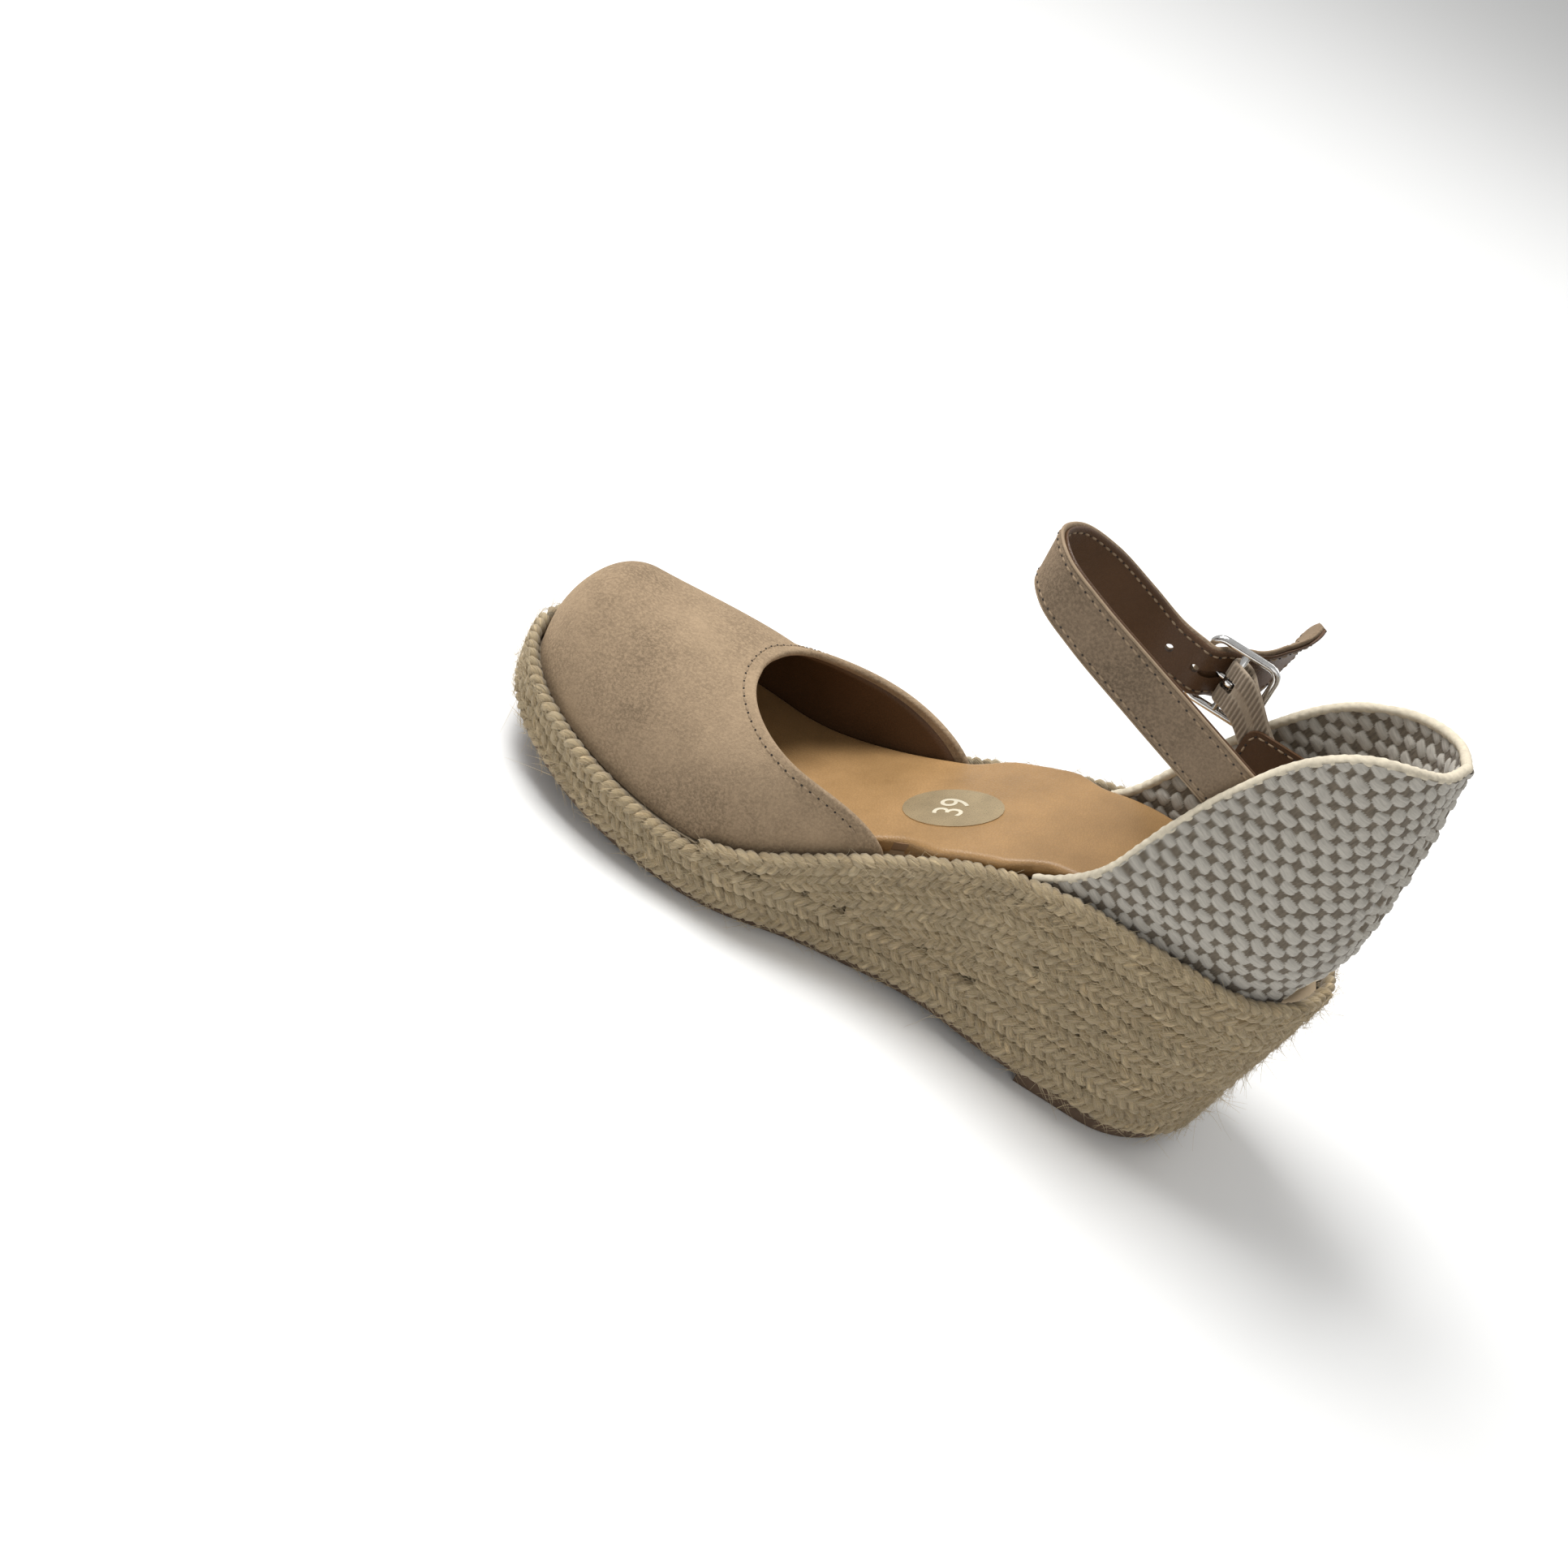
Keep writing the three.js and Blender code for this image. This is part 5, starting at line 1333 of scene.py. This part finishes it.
class SandalColours(bpy.types.PropertyGroup):
    """Colours of the sandal's materials"""

    jute: colour("Jute", "Braided jute", (0.46, 0.348, 0.2))
    jute_light: colour("Pale jute", "Palest fibres of the jute", (0.66, 0.55, 0.36))
    yarn_light: colour("Pale yarn", "Off-white yarn of the weave", (0.47, 0.44, 0.385))
    yarn_dark: colour("Taupe yarn", "Grey-brown yarn of the weave", (0.15, 0.123, 0.09))
    roll: colour("Rolled edge", "Cream rolled edge", (0.64, 0.57, 0.44))
    # partly the strap suede's own darker tone and partly painted shade: darker than the vamp's suede for the
    # shade the strap sits in
    strap: colour("Strap", "Suede of the ankle strap", (0.215, 0.158, 0.106))
    suede: colour("Suede", "Napped tan suede", (0.3, 0.218, 0.14))
    insole: colour("Footbed", "Tan leather of the footbed", (0.37, 0.213, 0.085))
    # partly the leather's own dark brown and partly painted shade: darkened for the vamp's shaded inside; the
    # patches and the strap's back share it
    lining: colour("Lining", "Brown leather of linings and patches", (0.095, 0.046, 0.019))
    rubber: colour("Rubber", "Brown rubber under the heel", (0.11, 0.068, 0.04))
    elastic: colour("Elastic", "Ribbed elastic", (0.37, 0.295, 0.215))
    thread: colour("Thread", "Tan thread", (0.3, 0.215, 0.135))
    label: colour("Label", "Gilt size label", (0.56, 0.43, 0.25))


def settings():
    """The sizes and colours of the scene."""
    return bpy.context.scene.sandal_sizes, bpy.context.scene.sandal_colours


class SANDAL_OT_finishes(bpy.types.Operator):
    """Make the shared shader groups and the materials"""

    bl_idname = "sandal.finishes"
    bl_label = "Finishes"

    def execute(self, context):
        make_finishes(settings()[1])
        return {"FINISHED"}


class SANDAL_OT_jute(bpy.types.Operator):
    """Plait the jute braids round the wedge and add their loose fibres"""

    bl_idname = "sandal.jute"
    bl_label = "Jute braids"

    def execute(self, context):
        sizes = settings()[0]
        build_fibres(build_jute(sizes), sizes.fibre_count)
        return {"FINISHED"}


class SANDAL_OT_quarter(bpy.types.Operator):
    """Weave the heel quarter and roll its edges"""

    bl_idname = "sandal.quarter"
    bl_label = "Woven quarter"

    def execute(self, context):
        build_quarter(settings()[0])
        return {"FINISHED"}


class SANDAL_OT_vamp(bpy.types.Operator):
    """Shape the suede vamp, its folded topline, lining and stitches"""

    bl_idname = "sandal.vamp"
    bl_label = "Suede vamp"

    def execute(self, context):
        build_vamp(settings()[0])
        return {"FINISHED"}


class SANDAL_OT_footbed(bpy.types.Operator):
    """Cover the footbed with leather"""

    bl_idname = "sandal.footbed"
    bl_label = "Footbed"

    def execute(self, context):
        build_insole()
        return {"FINISHED"}


class SANDAL_OT_rubber(bpy.types.Operator):
    """Shape the thin outsole and the heel lift"""

    bl_idname = "sandal.rubber"
    bl_label = "Outsole and lift"

    def execute(self, context):
        outsole_top = lambda x: under_height(x) + OUTSOLE_THICK
        rubber_slab("rubber_outsole", LIFT_FRONT + GAP, TOE_TIP, under_height, outsole_top, "outsole")
        ground, lift_top = (lambda x: 0 * x), (lambda x: 0 * x + LIFT_THICK)
        rubber_slab("rubber_lift", HEEL_BACK, LIFT_FRONT, ground, lift_top, "heel_lift")
        return {"FINISHED"}


class SANDAL_OT_strap(bpy.types.Operator):
    """Shape, punch and stitch the ankle strap"""

    bl_idname = "sandal.strap"
    bl_label = "Ankle strap"

    def execute(self, context):
        build_strap(settings()[0])
        return {"FINISHED"}


class SANDAL_OT_buckle(bpy.types.Operator):
    """Shape the buckle and the elastic that holds it"""

    bl_idname = "sandal.buckle"
    bl_label = "Buckle and elastic"

    def execute(self, context):
        build_buckle()
        build_elastic(settings()[0])
        return {"FINISHED"}


class SANDAL_OT_details(bpy.types.Operator):
    """Finish the plain pieces, stitch the patches and print the size"""

    bl_idname = "sandal.details"
    bl_label = "Details"

    def execute(self, context):
        build_details(settings()[0])
        return {"FINISHED"}


class SANDAL_OT_stage(bpy.types.Operator):
    """Set out the floor, lights and camera"""

    bl_idname = "sandal.stage"
    bl_label = "Stage"

    def execute(self, context):
        build_stage()
        return {"FINISHED"}


OPERATORS = (
    SANDAL_OT_finishes,
    SANDAL_OT_jute,
    SANDAL_OT_quarter,
    SANDAL_OT_vamp,
    SANDAL_OT_footbed,
    SANDAL_OT_rubber,
    SANDAL_OT_strap,
    SANDAL_OT_buckle,
    SANDAL_OT_details,
    SANDAL_OT_stage,
)


class SANDAL_PT_panel(bpy.types.Panel):
    """The sandal's sizes, colours and pieces"""

    bl_idname = "SANDAL_PT_panel"
    bl_label = "Wedge sandal"
    bl_space_type = "VIEW_3D"
    bl_region_type = "UI"
    bl_category = "Sandal"

    def draw(self, context):
        for group in settings():
            for key in group.__annotations__:
                self.layout.prop(group, key)
        for operator in OPERATORS:
            self.layout.operator(operator.bl_idname)


CLASSES = (SandalSizes, SandalColours, *OPERATORS, SANDAL_PT_panel)


def register():
    """Registers the classes and the scene's settings."""
    for made in CLASSES:
        bpy.utils.register_class(made)
    bpy.types.Scene.sandal_sizes = bpy.props.PointerProperty(type=SandalSizes)
    bpy.types.Scene.sandal_colours = bpy.props.PointerProperty(type=SandalColours)


def unregister():
    """Takes the settings and classes away again."""
    del bpy.types.Scene.sandal_colours
    del bpy.types.Scene.sandal_sizes
    for made in reversed(CLASSES):
        bpy.utils.unregister_class(made)


def main():
    register()
    for operator in OPERATORS:
        group, call = operator.bl_idname.split(".")
        getattr(getattr(bpy.ops, group), call)()


if __name__ == "__main__":
    main()
